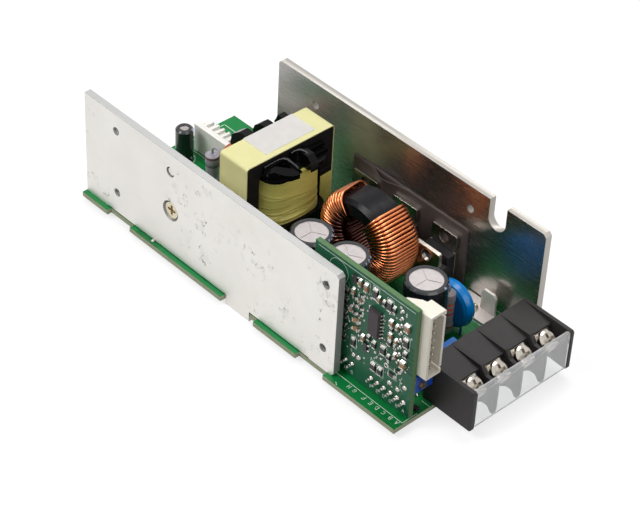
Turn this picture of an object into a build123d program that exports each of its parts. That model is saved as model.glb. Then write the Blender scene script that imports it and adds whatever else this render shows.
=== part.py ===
from build123d import *
from math import cos, sin, radians, sqrt
import os

# Open-frame switching power supply: one printed board between two upright aluminium plates.
# Sizes are millimetres. While a piece is drawn, U runs along the board from its far end,
# V across it from its near edge and W up from its top face. place() moves the finished
# piece to the part's own origin, which is the centre of the base of the whole supply.

# Printed board
board_length = 133.6
board_width = 60.4
board_thickness = 1.6
lead_out = 1.55            # leads and plate tabs below the board
lead_hole = 0.15           # radial room around a lead
near_notches = ((11.8, 22.2), (63.0, 76.9), (94.5, 105.6))
notch_depth = 1.6

# Side plates
plate_length = 108.0
plate_height = 36.0
plate_thickness = 2.4
plate_margin = 1.6         # board edge to the outer face of a plate
plate_lift = 0.3           # relief under a plate, between its feet
near_plate_start = 0.2
far_plate_start = 23.8
tab_width = 10.2
near_tab_start = 63.3
far_tab_start = 73.0
tab_room = 0.3             # board slot around a tab
foot_length = 10.0
plate_hole_r = 1.25        # threaded 3 mm
near_hole_ends = (14.5, 103.3)
near_hole_heights = (7.7, 30.1)
far_hole_ends = (16.4, 80.2)
far_hole_height = 28.3
slot_end = 87.0            # open slot in the far plate, from the plate's far end
slot_width = 6.4
slot_depth = 9.2
plate_corner = 2.0

# Fasteners in the near plate
device_screw_along = 38.8
device_screw_height = 15.7
pin_height = 29.7
pin_r = 1.6
pin_sink = 0.4             # end of the pin below the plate's face
screw_r = 1.5
screw_head_r = 2.7
screw_seat_r = 3.3         # countersink at the plate's face
screw_sink = 0.45          # head below the plate's face
screw_head_depth = 1.7
screw_recess_side = 0.9
screw_room = 0.1
nut_across = 5.5
nut_thickness = 2.4

# Power devices: a copper frame with its tab, and a moulded body in front of it
device_width = 10.0
device_height = 15.2
device_tab_thickness = 1.3
device_depth = 4.5
device_body_height = 9.0
device_hole_r = 1.85
device_hole_drop = 2.8
device_lead_width = 0.8
device_lead_thickness = 0.5
device_lead_pitch = 2.54
device_lead_back = 2.4     # lead centre in front of the tab's back
device_seat = 2.1          # body above the board
rectifier_centres = (64.2, 80.6, 96.7)
regulator_centre = 98.0
regulator_room = 0.6       # front of the regulator to the front of the rectifier behind it
regulator_seat = 0.6

# Insulating sheets
sheet_thickness = 0.4
sheet_start = 57.7
sheet_length = 46.8
sheet_low = 0.8
sheet_high = 21.0
pad_border = 1.0

# Transformer
core_length = 32.9
core_depth = 11.5
core_height = 28.2
core_leg = 4.6
core_centre_leg = 9.8
core_yoke = 4.8
core_corner = 0.8
core_base = 7.5
transformer_u = 52.45
transformer_v = 30.05
tape_thickness = 0.3
label_length = 18.8
label_width = 9.8
label_thickness = 0.1
label_offset = 1.4
label_back = 1.0
bobbin_wall = 1.0
bobbin_fit = 0.15
bobbin_flange = 1.0
bobbin_reach = 11.2        # centre to the outer edge of a flange
rail_height = 6.6
rail_depth = 5.2
rail_length = 26.0
hook_height = 3.4
hook_flat = 4.0
# Wire guides: place along the core, width, reach, rise and nose of each
far_hooks = ((-4.2, 3.2, 13.8, 4.1, 2.6), (3.6, 3.4, 12.8, 3.5, 1.4), (10.3, 2.6, 11.4, 3.2, 0.8))
near_hook = (3.4, 2.6, 12.5, 3.4, 1.4)
ear_start = -11.4
ear_end = -2.4
ear_reach = 12.3
ear_wall = 1.0
winding_reach = 11.0
winding_side = 0.3         # winding to core leg
transformer_pin = 0.7
transformer_pin_pitch = 5.0
transformer_pins_a_side = 5

# Toroid choke, standing on edge with its axis across the board
choke_u = 82.8
choke_room = 1.15          # winding to the regulator
choke_core_r = 13.4
choke_bore_r = 7.3
choke_core_width = 11.1
choke_chamfer = 1.2
choke_wire = 1.2
choke_turns = 50
choke_turn_pitch = 6.0     # degrees
choke_turn_angle = 4.7     # degrees that one turn fills
choke_gap_centre = 94.0    # degrees from +U, middle of the bare top
choke_seat = 0.6

# Electrolytic capacitors
capacitor_r = 6.25
capacitor_height = 25.0
capacitor_centres = ((80.1, 18.2), (93.9, 19.2), (115.1, board_width - 32.1))
small_capacitor_r = 2.8
small_capacitor_height = 11.5
small_capacitor_centre = (7.0, 33.9)
sleeve_wall = 0.25
sleeve_lip = 1.2
capacitor_bead = 0.35
capacitor_lead_r = 0.4
capacitor_pitch = 5.0
small_capacitor_pitch = 2.5

# Input header, mouth towards +V, with a ribbed ledge along its top
header_u = 5.2
header_v = 39.3
header_ways = 5
header_pitch = 2.5
header_end = 2.45
header_width = 5.75
header_height = 9.8
header_step = 2.0
header_ledge = 8.3
header_rib = 1.0
header_rib_top = 9.4
header_wall = 0.8
header_floor = 2.6
header_pin_row = 1.1
header_pin_rise = 5.4
pin_side = 0.64

# Small upright parts
snubber_centre = (24.3, 30.1)
snubber_r = 2.2
snubber_length = 12.0
snubber_seat = 2.0
snubber_pitch = 4.2
wire_r = 0.35
brown_centre = (24.3, 38.4)
brown_r = 5.5
brown_thickness = 3.4
brown_seat = 2.6
film_start = (124.8, 17.6)
film_size = (4.4, 12.8, 9.6)
film_seat = 0.4
load_centre = (116.2, board_width - 23.5)
load_r = 2.0
load_length = 14.5
load_seat = 2.4
load_pitch = -3.4          # its second lead comes down on the far side
disc_centre = (114.3, board_width - 19.2)
disc_r = 7.5
disc_thickness = 4.0
disc_seat = 1.5

# Control board, standing behind the near plate
control_start = 94.7
control_length = 38.7
control_near_face = 5.5
control_thickness = 1.6
control_low = 0.4
control_high = 38.4
control_pin_start = 108.8
control_pin_pitch = 2.49
control_pin_steps = (0, 1, 4, 5, 6, 7, 8, 9)
control_pin_height = 4.9
control_pin_out = 1.9      # tip in front of the board
control_pin_reach = 1.2
chip_u = 119.1
chip_w = 25.5
chip_width = 3.9
chip_length = 8.7
chip_height = 1.5
chip_lead_span = 6.0
chip_lead_pitch = 1.27
chip_leads_a_side = 7

# Output header on the control board, lying on its side
wafer_ways = 8
wafer_pitch = 2.5
wafer_end = 2.25
wafer_depth = 5.7
wafer_back = 126.6
wafer_front = 136.7
wafer_low = 15.5
wafer_wall = 0.8
wafer_floor = 5.3
wafer_heel = ((0.0, 1.2), (3.2, 3.5), (4.7, 4.0))  # U from the back and V from the board

# Surface parts on the control board: U, W, width and height of each body
black_chips = (
    (110.5, 35.0, 1.4, 2.9), (118.2, 34.6, 1.6, 3.2), (123.6, 34.0, 1.6, 3.2), (115.9, 14.5, 1.4, 2.9),
    (111.3, 13.0, 1.3, 2.6), (122.4, 17.6, 1.6, 2.6), (119.1, 17.3, 1.1, 2.2), (119.3, 9.6, 1.6, 2.4),
    (121.8, 9.6, 1.6, 2.4), (130.4, 25.6, 1.6, 2.8), (107.8, 28.6, 1.1, 2.2), (110.9, 28.7, 1.2, 0.9),
    (111.3, 26.4, 1.2, 0.9), (111.2, 23.6, 1.2, 0.9), (126.3, 11.6, 2.4, 1.2), (124.6, 21.8, 1.1, 1.8),
    (113.1, 30.8, 1.3, 0.8), (113.2, 26.4, 1.3, 0.8), (113.1, 24.2, 1.3, 0.8), (107.8, 25.2, 1.1, 2.0),
    (107.7, 20.6, 1.1, 1.8), (125.5, 33.9, 1.0, 1.9), (124.9, 26.8, 0.9, 1.4), (130.5, 21.6, 1.2, 1.8),
    (128.2, 14.3, 1.7, 0.9), (124.6, 16.6, 0.9, 1.7), (116.9, 18.4, 1.0, 1.6), (107.6, 16.0, 1.0, 1.9),
    (107.7, 12.4, 1.0, 1.8), (121.6, 33.6, 0.9, 1.7),
)
brown_chips = (
    (130.5, 30.9, 1.7, 2.2), (130.0, 17.8, 1.7, 2.2), (124.8, 29.0, 1.3, 1.7), (110.3, 30.5, 1.0, 1.6),
    (112.0, 21.3, 2.2, 1.1), (114.9, 34.6, 1.2, 2.4), (124.9, 24.6, 1.2, 1.8), (109.9, 24.2, 1.0, 1.6),
    (112.1, 18.5, 2.0, 1.1), (114.9, 17.0, 1.1, 1.8), (113.1, 28.8, 1.3, 0.8), (119.8, 33.8, 0.8, 1.7),
    (112.7, 34.9, 0.9, 2.0), (127.0, 19.0, 0.8, 1.3), (127.0, 24.0, 0.8, 1.3), (127.0, 29.0, 0.8, 1.3),
)
black_chip_height = 0.6
brown_chip_height = 0.9
board_chip = (131.8, 9.9)  # black chip on the main board, below the trimmer
board_chip_size = (2.0, 1.5, 1.0)

# Trimmer on the control board
trimmer_width = 6.8
trimmer_depth = 7.0
trimmer_height = 6.4
trimmer_front = 133.6
trimmer_low = 8.3
trimmer_screw_r = 1.1
trimmer_screw_in = 3.0
trimmer_screw_out = 0.9
trimmer_screw_across = 2.3
trimmer_screw_up = 2.8
trimmer_slot = 0.5
running_room = 0.05

# Earth bracket
bracket_u = 113.5
bracket_length = 14.8
bracket_width = 7.8
bracket_room = 0.3         # to the far plate
bracket_thickness = 0.8
bracket_corner = 1.2
bracket_tab_start = 114.4
bracket_tab_width = 5.6
bracket_tab_offset = 0.6   # tab and screw from the bracket's middle, across the board
bracket_tab_height = 8.1
bracket_slot_room = 0.4
bracket_screw_u = 113.3
bracket_screw_offset = -1.1
bracket_screw_r = 1.25
bracket_head_r = 1.6
bracket_head_height = 1.2

# Terminal block: end walls and fins around four cells
terminal_cells = 4
terminal_room = 2.35       # last wall to the far plate
terminal_wall = 1.2
terminal_v = 14.85
terminal_back = 129.5
terminal_front = 147.6
terminal_top = 13.8
roof_front = 140.1
roof_drop = 1.5
roof_thickness = 1.1
fin_front = 146.4
fin_shoulder = 140.7
fin_saddle = 11.3
terminal_floor_front = 139.4
contact_width = 6.6
contact_thickness = 0.9
contact_low = 6.6
contact_high = 11.4
contact_pin = 1.2
contact_pin_u = 131.8
terminal_screw_r = 1.6
terminal_head_r = 2.8
terminal_head_height = 1.7
terminal_screw_length = 4.6
clamp_side = 5.2
clamp_thickness = 0.8
cell_offset = -0.5         # clamps sit towards the near wall of each cell

# Clear cover hinged at the top of the front
cover_thickness = 0.8
cover_pivot_u = 146.7
cover_pivot_w = 12.9
cover_barrel_r = 0.8
cover_low = 0.9
cover_side_room = 0.3
peg_r = 0.6
peg_length = 0.8

far_inner = board_width - plate_margin - plate_thickness
near_inner = plate_margin + plate_thickness
origin = (-terminal_front / 2, -board_width / 2, board_thickness + lead_out)
below = board_thickness + lead_out
wafer_high = wafer_low + 2 * wafer_end + (wafer_ways - 1) * wafer_pitch
control_far_face = control_near_face + control_thickness
terminal_width = far_inner - terminal_room - terminal_v
terminal_pitch = (terminal_width - terminal_wall) / terminal_cells
sheet_face = far_inner - sheet_thickness
regulator_face = sheet_face - 2 * device_depth - regulator_room
choke_v = regulator_face - choke_room - choke_wire - choke_core_width / 2
bracket_v = far_inner - bracket_room - bracket_width / 2
bracket_tab_v = bracket_v + bracket_tab_offset
bracket_screw_v = bracket_v + bracket_screw_offset
screw_u = near_plate_start + device_screw_along
mosfet_back = near_inner + sheet_thickness


def place(shape):
    return Pos(*origin) * shape


def span(u, v, w):
    size = (u[1] - u[0], v[1] - v[0], w[1] - w[0])
    centre = ((u[0] + u[1]) / 2, (v[0] + v[1]) / 2, (w[0] + w[1]) / 2)
    return Pos(*centre) * Box(*size)


def rod(u, v, low, high, radius):
    return Pos(u, v, (low + high) / 2) * Cylinder(radius, high - low)


def across(points, v_low, v_high):
    # A profile of (U, W) points, extruded along V.
    face = Plane.XZ * make_face(Polyline(*points, close=True))
    return Pos(0, v_low, 0) * extrude(face, amount=v_low - v_high)


def along(points, u_low, u_high):
    # A profile of (V, W) points, extruded along U.
    face = Plane.YZ * make_face(Polyline(*points, close=True))
    return Pos(u_low, 0, 0) * extrude(face, amount=u_high - u_low)


def joined(parts):
    whole = parts[0]
    for piece in parts[1:]:
        whole = whole + piece
    return whole


def lead_places():
    # Centre and radius of every lead that passes through the board.
    places = []
    for u, v in transformer_pin_places():
        places.append((u, v, transformer_pin / sqrt(2)))
    for side in (-1, 1):
        places.append((choke_u + side * choke_lead_offset(), choke_v, choke_wire / 2))
    for u, v in capacitor_centres:
        for side in (-1, 1):
            places.append((u, v + side * capacitor_pitch / 2, capacitor_lead_r))
    for side in (-1, 1):
        v = small_capacitor_centre[1] + side * small_capacitor_pitch / 2
        places.append((small_capacitor_centre[0], v, capacitor_lead_r))
    for u in header_pin_places():
        places.append((u, header_v + header_pin_row, pin_side / sqrt(2)))
    for (u, v), pitch in ((snubber_centre, snubber_pitch), (load_centre, load_pitch)):
        places.append((u, v, wire_r))
        places.append((u + pitch, v, wire_r))
    for side in (-1, 1):
        places.append((brown_centre[0], brown_centre[1] + side * brown_r / 2, wire_r))
        places.append((disc_centre[0] + side * disc_r / 2, disc_centre[1], wire_r))
        v = film_start[1] + film_size[1] / 2 + side * film_size[1] * 0.4
        places.append((film_start[0] + film_size[0] / 2, v, wire_r))
    for u in control_pin_places():
        places.append((u, control_far_face + control_pin_reach, pin_side / sqrt(2)))
    lead_reach = sqrt(device_lead_width ** 2 + device_lead_thickness ** 2) / 2
    for centre, v in device_rows():
        for step in (-1, 0, 1):
            places.append((centre + step * device_lead_pitch, v, lead_reach))
    for v in cell_centres():
        places.append((contact_pin_u, v, contact_pin / sqrt(2)))
    places.append((bracket_screw_u, bracket_screw_v, bracket_screw_r))
    return places


def device_rows():
    rows = [(centre, sheet_face - device_lead_back) for centre in rectifier_centres]
    rows.append((regulator_centre, regulator_face + device_lead_back))
    rows.append((screw_u, mosfet_back + device_lead_back))
    return rows


def cell_centres():
    first = terminal_v + terminal_wall / 2 + terminal_pitch / 2
    return [first + i * terminal_pitch for i in range(terminal_cells)]


def transformer_pin_places():
    places = []
    row = bobbin_reach - rail_depth / 2
    half = transformer_pin_pitch * (transformer_pins_a_side - 1) / 2
    for side in (-1, 1):
        for i in range(transformer_pins_a_side):
            v = transformer_v - half + i * transformer_pin_pitch
            places.append((transformer_u + side * row, v))
    return places


def header_pin_places():
    return [header_u + header_end + i * header_pitch for i in range(header_ways)]


def control_pin_places():
    return [control_pin_start + i * control_pin_pitch for i in control_pin_steps]


def choke_lead_offset():
    return choke_bore_r


def main_board():
    tab_slot = plate_margin + plate_thickness + tab_room
    plan = Pos(board_length / 2, board_width / 2) * Rectangle(board_length, board_width)
    for low, high in near_notches:
        plan -= Pos((low + high) / 2, notch_depth / 2) * Rectangle(high - low, notch_depth)
    room = tab_width + 2 * tab_room
    plan -= Pos(near_tab_start + tab_width / 2, tab_slot / 2) * Rectangle(room, tab_slot)
    far_middle = (far_tab_start + tab_width / 2, board_width - tab_slot / 2)
    plan -= Pos(*far_middle) * Rectangle(room, tab_slot)
    for u, v, radius in lead_places():
        plan -= Pos(u, v) * Circle(radius + lead_hole)
    return extrude(plan, amount=-board_thickness)


def plate_outline(start, tab_start, corners):
    end = start + plate_length
    points = [
        (start, 0), (start + foot_length, 0), (start + foot_length, plate_lift),
        (tab_start, plate_lift), (tab_start, -below), (tab_start + tab_width, -below),
        (tab_start + tab_width, plate_lift), (end - foot_length, plate_lift),
        (end - foot_length, 0), (end, 0), (end, plate_height), (start, plate_height),
    ]
    face = make_face(Polyline(*points, close=True))
    chosen = [v for v in face.vertices() if (round(v.X, 3), round(v.Y, 3)) in corners]
    return chamfer(chosen, plate_corner / 2), end


def upright(face, v_low):
    solid = extrude(Plane.XZ * face, amount=-plate_thickness)
    return Pos(0, v_low, 0) * solid


def drilled(plate, places, v_low, radius):
    for u, w in places:
        tool = Pos(u, v_low + plate_thickness / 2, w) * Rot(90, 0, 0) * Cylinder(radius, plate_thickness + 1)
        plate -= tool
    return plate


def near_plate():
    start = near_plate_start
    corners = ((start + plate_length, plate_height), (start + plate_length, 0.0))
    face, end = plate_outline(start, near_tab_start, corners)
    plate = upright(face, plate_margin)
    holes = [(start + u, w) for u in near_hole_ends for w in near_hole_heights]
    plate = drilled(plate, holes, plate_margin, plate_hole_r)
    plate = drilled(plate, [(screw_u, device_screw_height)], plate_margin, screw_r + screw_room)
    plate = drilled(plate, [(screw_u, pin_height)], plate_margin, pin_r)
    depth = screw_sink + screw_head_depth
    sink = Cone(screw_seat_r, screw_r + screw_room, depth)
    middle = plate_margin + depth / 2
    return plate - Pos(screw_u, middle, device_screw_height) * Rot(-90, 0, 0) * sink


def far_plate():
    start = far_plate_start
    corners = ((start, plate_height), (start + plate_length, plate_height))
    face, end = plate_outline(start, far_tab_start, corners)
    middle = start + slot_end + slot_width / 2
    low = plate_height - slot_depth + slot_width / 2
    face -= Pos(middle, low) * Circle(slot_width / 2)
    face -= Pos(middle, (low + plate_height) / 2) * Rectangle(slot_width, plate_height - low)
    plate = upright(face, far_inner)
    holes = [(start + u, far_hole_height) for u in far_hole_ends]
    return drilled(plate, holes, far_inner, plate_hole_r)


def cross_tool(width, length, depth):
    # Cross recess, cut downwards from Z = 0 and narrower at its floor.
    arms = Rectangle(width, length) + Rectangle(length, width)
    return extrude(arms, amount=-depth, taper=8)


def near_plate_screw():
    reach = plate_thickness + sheet_thickness + device_tab_thickness + nut_thickness + 0.6 - screw_sink
    profile = [
        (0, 0), (screw_head_r, 0), (screw_r, -screw_head_depth), (screw_r, -reach), (0, -reach),
    ]
    face = Plane.XZ * make_face(Polyline(*profile, close=True))
    screw = revolve(face, Axis.Z)
    screw -= cross_tool(screw_recess_side, 3.4, 1.2)
    return Pos(screw_u, plate_margin + screw_sink, device_screw_height) * Rot(90, 0, 0) * screw


def near_plate_pin():
    pin = Cylinder(pin_r, plate_thickness - pin_sink)
    pin = chamfer(pin.edges().group_by(Axis.Z)[-1], 0.3)
    return Pos(screw_u, plate_margin + (plate_thickness + pin_sink) / 2, pin_height) * Rot(90, 0, 0) * pin


def mosfet_nut():
    nut = extrude(RegularPolygon(nut_across / 2, 6, major_radius=False), nut_thickness)
    nut -= Cylinder(screw_r, 3 * nut_thickness)
    seat = mosfet_back + device_tab_thickness
    return Pos(screw_u, seat, device_screw_height) * Rot(-90, 0, 0) * nut


def mosfet_pad():
    low = mosfet_seat() - pad_border
    high = mosfet_seat() + device_height + pad_border
    half = device_width / 2 + pad_border
    pad = span((screw_u - half, screw_u + half), (near_inner, mosfet_back), (low, high))
    hole = Rot(90, 0, 0) * Cylinder(screw_r + screw_room, 4 * sheet_thickness)
    return pad - Pos(screw_u, near_inner, device_screw_height) * hole


def mosfet_seat():
    return device_screw_height + device_hole_drop - device_height


def device_frame(seat):
    # Back of the tab at V = 0, centred on U = 0, front towards -V.
    half = device_width / 2
    tab = RectangleRounded(device_width, device_height, 0.6)
    tab -= Pos(0, device_height / 2 - device_hole_drop) * Circle(device_hole_r)
    for side in (-1, 1):
        notch = Pos(side * half, device_height / 2 - 5.2) * Rectangle(1.2, 1.6)
        tab -= notch
    plate = extrude(Plane.XZ * tab, amount=device_tab_thickness)
    parts = [Pos(0, 0, seat + device_height / 2) * plate]
    for step in (-1, 0, 1):
        u = step * device_lead_pitch
        wide = (u - device_lead_width / 2, u + device_lead_width / 2)
        deep = (-device_lead_back - device_lead_thickness / 2, -device_lead_back + device_lead_thickness / 2)
        parts.append(span(wide, deep, (-below, seat)))
    return Compound(parts)


def device_body(seat):
    half = device_width / 2
    back = -device_tab_thickness
    front = -device_depth
    top = seat + device_body_height
    plan = [
        (back, seat), (front + 0.3, seat), (front, seat + 0.8), (front, top - 0.9),
        (front + 0.5, top), (back, top),
    ]
    body = along(plan, -half, half)
    dimple = Pos(-half + 2.0, front, top - 2.2) * Rot(90, 0, 0) * Cylinder(0.9, 0.3)
    return body - dimple


def on_sheet(shape, centre):
    return Pos(centre, sheet_face, 0) * shape


def turned(shape, centre, back):
    # The same device with its front towards +V.
    return Pos(centre, back, 0) * Rot(0, 0, 180) * shape


def insulating_sheet():
    end = sheet_start + sheet_length
    return span((sheet_start, end), (sheet_face, far_inner), (sheet_low, sheet_high))


def core_half(upper):
    # E-shaped half, seen along U, with the open side towards the other half.
    half = core_length / 2
    rise = core_height / 2
    window = (core_length / 2 - core_leg + core_centre_leg / 2) / 2
    reach = core_length / 2 - core_leg - core_centre_leg / 2
    face = Pos(0, rise / 2) * Rectangle(core_length, rise)
    face = fillet(face.vertices().group_by(Axis.Y)[-1], core_corner)
    for side in (-1, 1):
        opening = Rectangle(reach, rise - core_yoke)
        face -= Pos(side * window, (rise - core_yoke) / 2) * opening
    solid = extrude(Plane.YZ * face, amount=core_depth / 2, both=True)
    middle = core_base + rise
    turn = 0 if upper else 180
    return Pos(transformer_u, transformer_v, middle) * Rot(turn, 0, 0) * solid


def transformer_core_tape():
    outer = RectangleRounded(core_length + 2 * tape_thickness, core_height + 2 * tape_thickness,
                             core_corner + tape_thickness)
    inner = RectangleRounded(core_length, core_height, core_corner)
    band = extrude(Plane.YZ * (outer - inner), amount=core_depth / 2, both=True)
    return Pos(transformer_u, transformer_v, core_base + core_height / 2) * band


def transformer_label():
    top = core_base + core_height + tape_thickness
    sheet = Box(label_width, label_length, label_thickness)
    return Pos(transformer_u - label_back, transformer_v + label_offset, top + label_thickness / 2) * sheet


def window_low():
    return core_base + core_yoke


def window_high():
    return core_base + core_height - core_yoke


def flange(low, thickness):
    wide = core_length - 2 * core_leg - 2 * winding_side
    plan = RectangleRounded(2 * bobbin_reach, wide, 5.0)
    return Pos(transformer_u, transformer_v, low) * extrude(plan, thickness)


def tube_size(extra):
    return (core_depth + 2 * bobbin_fit + extra, core_centre_leg + 2 * bobbin_fit + extra)


def hook(side, offset, width, reach, rise, nose):
    # Wire guide on the top flange, beyond the core, with its nose turned down.
    inner = core_depth / 2 + tape_thickness
    base = window_high()
    top = base + rise
    outline = [
        (inner, base - 0.2), (reach - 1.2, base - 0.2), (reach - 0.5, base - nose), (reach, base - nose + 1.1),
        (reach - 0.8, base + 1.8), (inner + hook_flat, top), (inner, top),
    ]
    outline = [(transformer_u + side * u, w) for u, w in outline]
    middle = transformer_v + offset
    return across(outline, middle - width / 2, middle + width / 2)


def ear():
    # Wide guide on the terminal side: an arched wall round a three-cornered pocket.
    inner = core_depth / 2 + tape_thickness
    low = window_high() - bobbin_flange
    top = window_high() + hook_height
    slope = [
        (inner, low), (ear_reach, low), (ear_reach, low + 1.4), (inner + 1.8, top), (inner, top),
    ]
    wedge = across(slope, ear_start, ear_end)
    rim = Line((inner, ear_start), (inner, ear_end)) + Line((inner, ear_end), (ear_reach, ear_end))
    rim += ThreePointArc((ear_reach, ear_end), (9.7, -8.6), (inner, ear_start))
    plan = Pos(0, 0, low) * extrude(make_face(rim), hook_height + 2)
    wall_face = inner + ear_wall
    pocket = make_face(Polyline((wall_face, ear_start + 2), (wall_face, ear_end - 1.3), (10.2, ear_end - 1.3),
                                close=True))
    fall = along([(ear_start - 1, low + 1.6), (ear_start + 5, top + 1), (ear_start - 1, top + 1)], 0, 20)
    solid = (wedge & plan) - Pos(0, 0, low + 1) * extrude(pocket, 10) - fall
    return Pos(transformer_u, transformer_v, 0) * solid


def flange_ledges():
    # Two steps that carry the flange up to the core beyond the narrow guide.
    inner = transformer_u + core_depth / 2 + tape_thickness
    base = window_high() - 0.2
    reach = (transformer_v + 5.6, transformer_v + 11.4)
    return [
        span((inner, inner + 2.8), reach, (base, base + 1.2)),
        span((inner, inner + 1.4), reach, (base, base + 2.6)),
    ]


def transformer_bobbin():
    low = window_low()
    high = window_high()
    parts = [flange(low, bobbin_flange), flange(high - bobbin_flange, bobbin_flange)]
    tube = Box(*tube_size(2 * bobbin_wall), high - low)
    parts.append(Pos(transformer_u, transformer_v, (low + high) / 2) * tube)
    for side in (-1, 1):
        inner = transformer_u + side * (bobbin_reach - rail_depth)
        outer = transformer_u + side * bobbin_reach
        rail = [(inner, 0.5), (outer, 0.5), (outer, rail_height), (outer, low + 0.1), (inner, low + 0.1)]
        half = rail_length / 2
        parts.append(across(rail, transformer_v - half + 4, transformer_v + half - 4))
        foot = [(inner, 0), (outer, 0), (outer, rail_height), (inner, rail_height)]
        parts.append(across(foot, transformer_v - half, transformer_v + half))
    for guide in far_hooks:
        parts.append(hook(-1, *guide))
    parts.append(hook(1, *near_hook))
    parts.append(ear())
    parts.extend(flange_ledges())
    bobbin = joined(parts)
    gap_middle = (ear_end + near_hook[0] - near_hook[1] / 2) / 2
    gap = Box(4.0, near_hook[0] - near_hook[1] / 2 - ear_end - 0.4, 3 * bobbin_flange)
    bobbin -= Pos(transformer_u + bobbin_reach, transformer_v + gap_middle, high) * gap
    passage = Box(*tube_size(0), high - low + 1)
    bobbin -= Pos(transformer_u, transformer_v, (low + high) / 2) * passage
    for u, v in transformer_pin_places():
        socket = Box(transformer_pin, transformer_pin, 3.0)
        bobbin -= Pos(u, v, 1.5) * socket
    return bobbin


def transformer_winding():
    low = window_low() + bobbin_flange
    high = window_high() - bobbin_flange
    wide = core_length - 2 * core_leg - 2 * winding_side
    outline = RectangleRounded(2 * winding_reach - 1.0, wide - 0.6, 7.5)
    bulge = RectangleRounded(2 * winding_reach, wide, 8.0)
    lower = loft([outline, Pos(0, 0, (high - low) * 0.35) * bulge])
    upper = loft([Pos(0, 0, (high - low) * 0.35) * bulge, Pos(0, 0, high - low) * outline])
    body = Pos(transformer_u, transformer_v, low) * (lower + upper)
    tube = Box(*tube_size(2 * bobbin_wall), 3 * core_height)
    return body - Pos(transformer_u, transformer_v, low) * tube


def transformer_pins():
    half = transformer_pin / 2
    pins = []
    for u, v in transformer_pin_places():
        pins.append(span((u - half, u + half), (v - half, v + half), (-below, 3.0)))
    return Compound(pins)


def choke_section(grow):
    # Core section in the plane of radius (X) and axis (Y), grown by a wire's thickness.
    low = choke_bore_r - grow
    high = choke_core_r + grow
    half = choke_core_width / 2 + grow
    cut = choke_chamfer
    return [
        (low + cut, -half), (high - cut, -half), (high, -half + cut), (high, half - cut),
        (high - cut, half), (low + cut, half), (low, half - cut), (low, -half + cut),
    ]


def choke_centre():
    return choke_core_r + choke_wire + choke_seat


def toroid_core():
    core = revolve(make_face(Polyline(*choke_section(0), close=True)), Axis.Y)
    return Pos(choke_u, choke_v, choke_centre()) * core


def toroid_winding():
    outer = make_face(Polyline(*choke_section(choke_wire), close=True))
    inner = make_face(Polyline(*choke_section(0), close=True))
    turn = revolve(outer - inner, Axis.Y, revolution_arc=choke_turn_angle)
    centre = Pos(choke_u, choke_v, choke_centre())
    sweep = choke_turn_pitch * (choke_turns - 1)
    first = choke_gap_centre + (360 - sweep) / 2
    parts = []
    for i in range(choke_turns):
        angle = first + i * choke_turn_pitch - choke_turn_angle / 2
        parts.append(centre * Rot(0, -angle, 0) * turn)
    # The two ends leave the lowest turns and pass through the board.
    reach = choke_core_r + choke_wire
    for side in (-1, 1):
        offset = choke_lead_offset()
        top = choke_centre() - sqrt(reach ** 2 - (offset + choke_wire / 2) ** 2)
        parts.append(rod(choke_u + side * offset, choke_v, -below, top, choke_wire / 2))
    return Compound(parts)


def capacitor_can(centre, radius, height, pitch):
    inner = radius - sleeve_wall
    groove = height * 0.12
    profile = [
        (0, 0), (inner - 0.6, 0), (inner, 0.6), (inner, groove), (inner - capacitor_bead, groove + 0.5),
        (inner, groove + 1.0), (inner, height - 0.5), (inner - 0.5, height), (0, height),
    ]
    can = revolve(Plane.XZ * make_face(Polyline(*profile, close=True)), Axis.Z)
    vent = inner * 0.72
    for turn in (30, 150, 270):
        mark = Pos(vent / 2, 0) * Rectangle(vent, 0.25)
        can -= Pos(0, 0, height) * Rot(0, 0, turn) * extrude(mark, amount=-0.15)
    parts = [can]
    for side in (-1, 1):
        parts.append(rod(0, side * pitch / 2, -below, 0, capacitor_lead_r))
    return Pos(centre[0], centre[1], 0) * Compound(parts)


def capacitor_sleeve(centre, radius, height):
    inner = radius - sleeve_wall
    groove = height * 0.12
    profile = [
        (inner, 0.6), (radius, 0.6), (radius, groove), (radius - capacitor_bead, groove + 0.5),
        (radius, groove + 1.0), (radius, height - 0.3), (radius - 0.5, height + sleeve_wall),
        (inner - sleeve_lip, height + sleeve_wall), (inner - sleeve_lip, height),
        (inner - 0.5, height), (inner, height - 0.5), (inner, groove + 1.0),
        (inner - capacitor_bead, groove + 0.5), (inner, groove),
    ]
    sleeve = revolve(Plane.XZ * make_face(Polyline(*profile, close=True)), Axis.Z)
    return Pos(centre[0], centre[1], 0) * sleeve


def shroud(length, width, height, wall, floor_height, slots):
    # Open box on Z = 0 with slots down both long walls.
    body = extrude(RectangleRounded(length, width, 0.4), height)
    body -= Pos(0, 0, floor_height + height / 2) * Box(length - 2 * wall, width - 2 * wall, height)
    for u in slots:
        body -= Pos(u, width / 2, height) * Box(0.9, 2.4 * wall, 2 * (height - floor_height - 1))
    return body


def header_pin_outline():
    # Upright in the board, then turned towards the mouth.
    half = pin_side / 2
    row = header_v + header_pin_row
    tip = header_v + header_width - 0.6
    return [
        (row - half, -below), (row + half, -below), (row + half, header_pin_rise - half),
        (tip, header_pin_rise - half), (tip, header_pin_rise + half), (row - half, header_pin_rise + half),
    ]


def input_header():
    ends = (header_u, header_u + 2 * header_end + (header_ways - 1) * header_pitch)
    front = header_v + header_width
    body = span(ends, (header_v, front), (0, header_ledge))
    body += span(ends, (header_v, header_v + header_step), (0, header_height))
    for u in header_pin_places():
        rib = (u - header_rib / 2, u + header_rib / 2)
        body += span(rib, (header_v + header_step, front), (header_floor, header_rib_top))
    inside = (ends[0] + header_wall, ends[1] - header_wall)
    body -= span(inside, (header_v + header_step, front), (header_floor, header_ledge - header_wall))
    for u in header_pin_places():
        body -= along(header_pin_outline(), u - pin_side / 2, u + pin_side / 2)
    return body


def input_header_pins():
    half = pin_side / 2
    return Compound([along(header_pin_outline(), u - half, u + half) for u in header_pin_places()])


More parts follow.
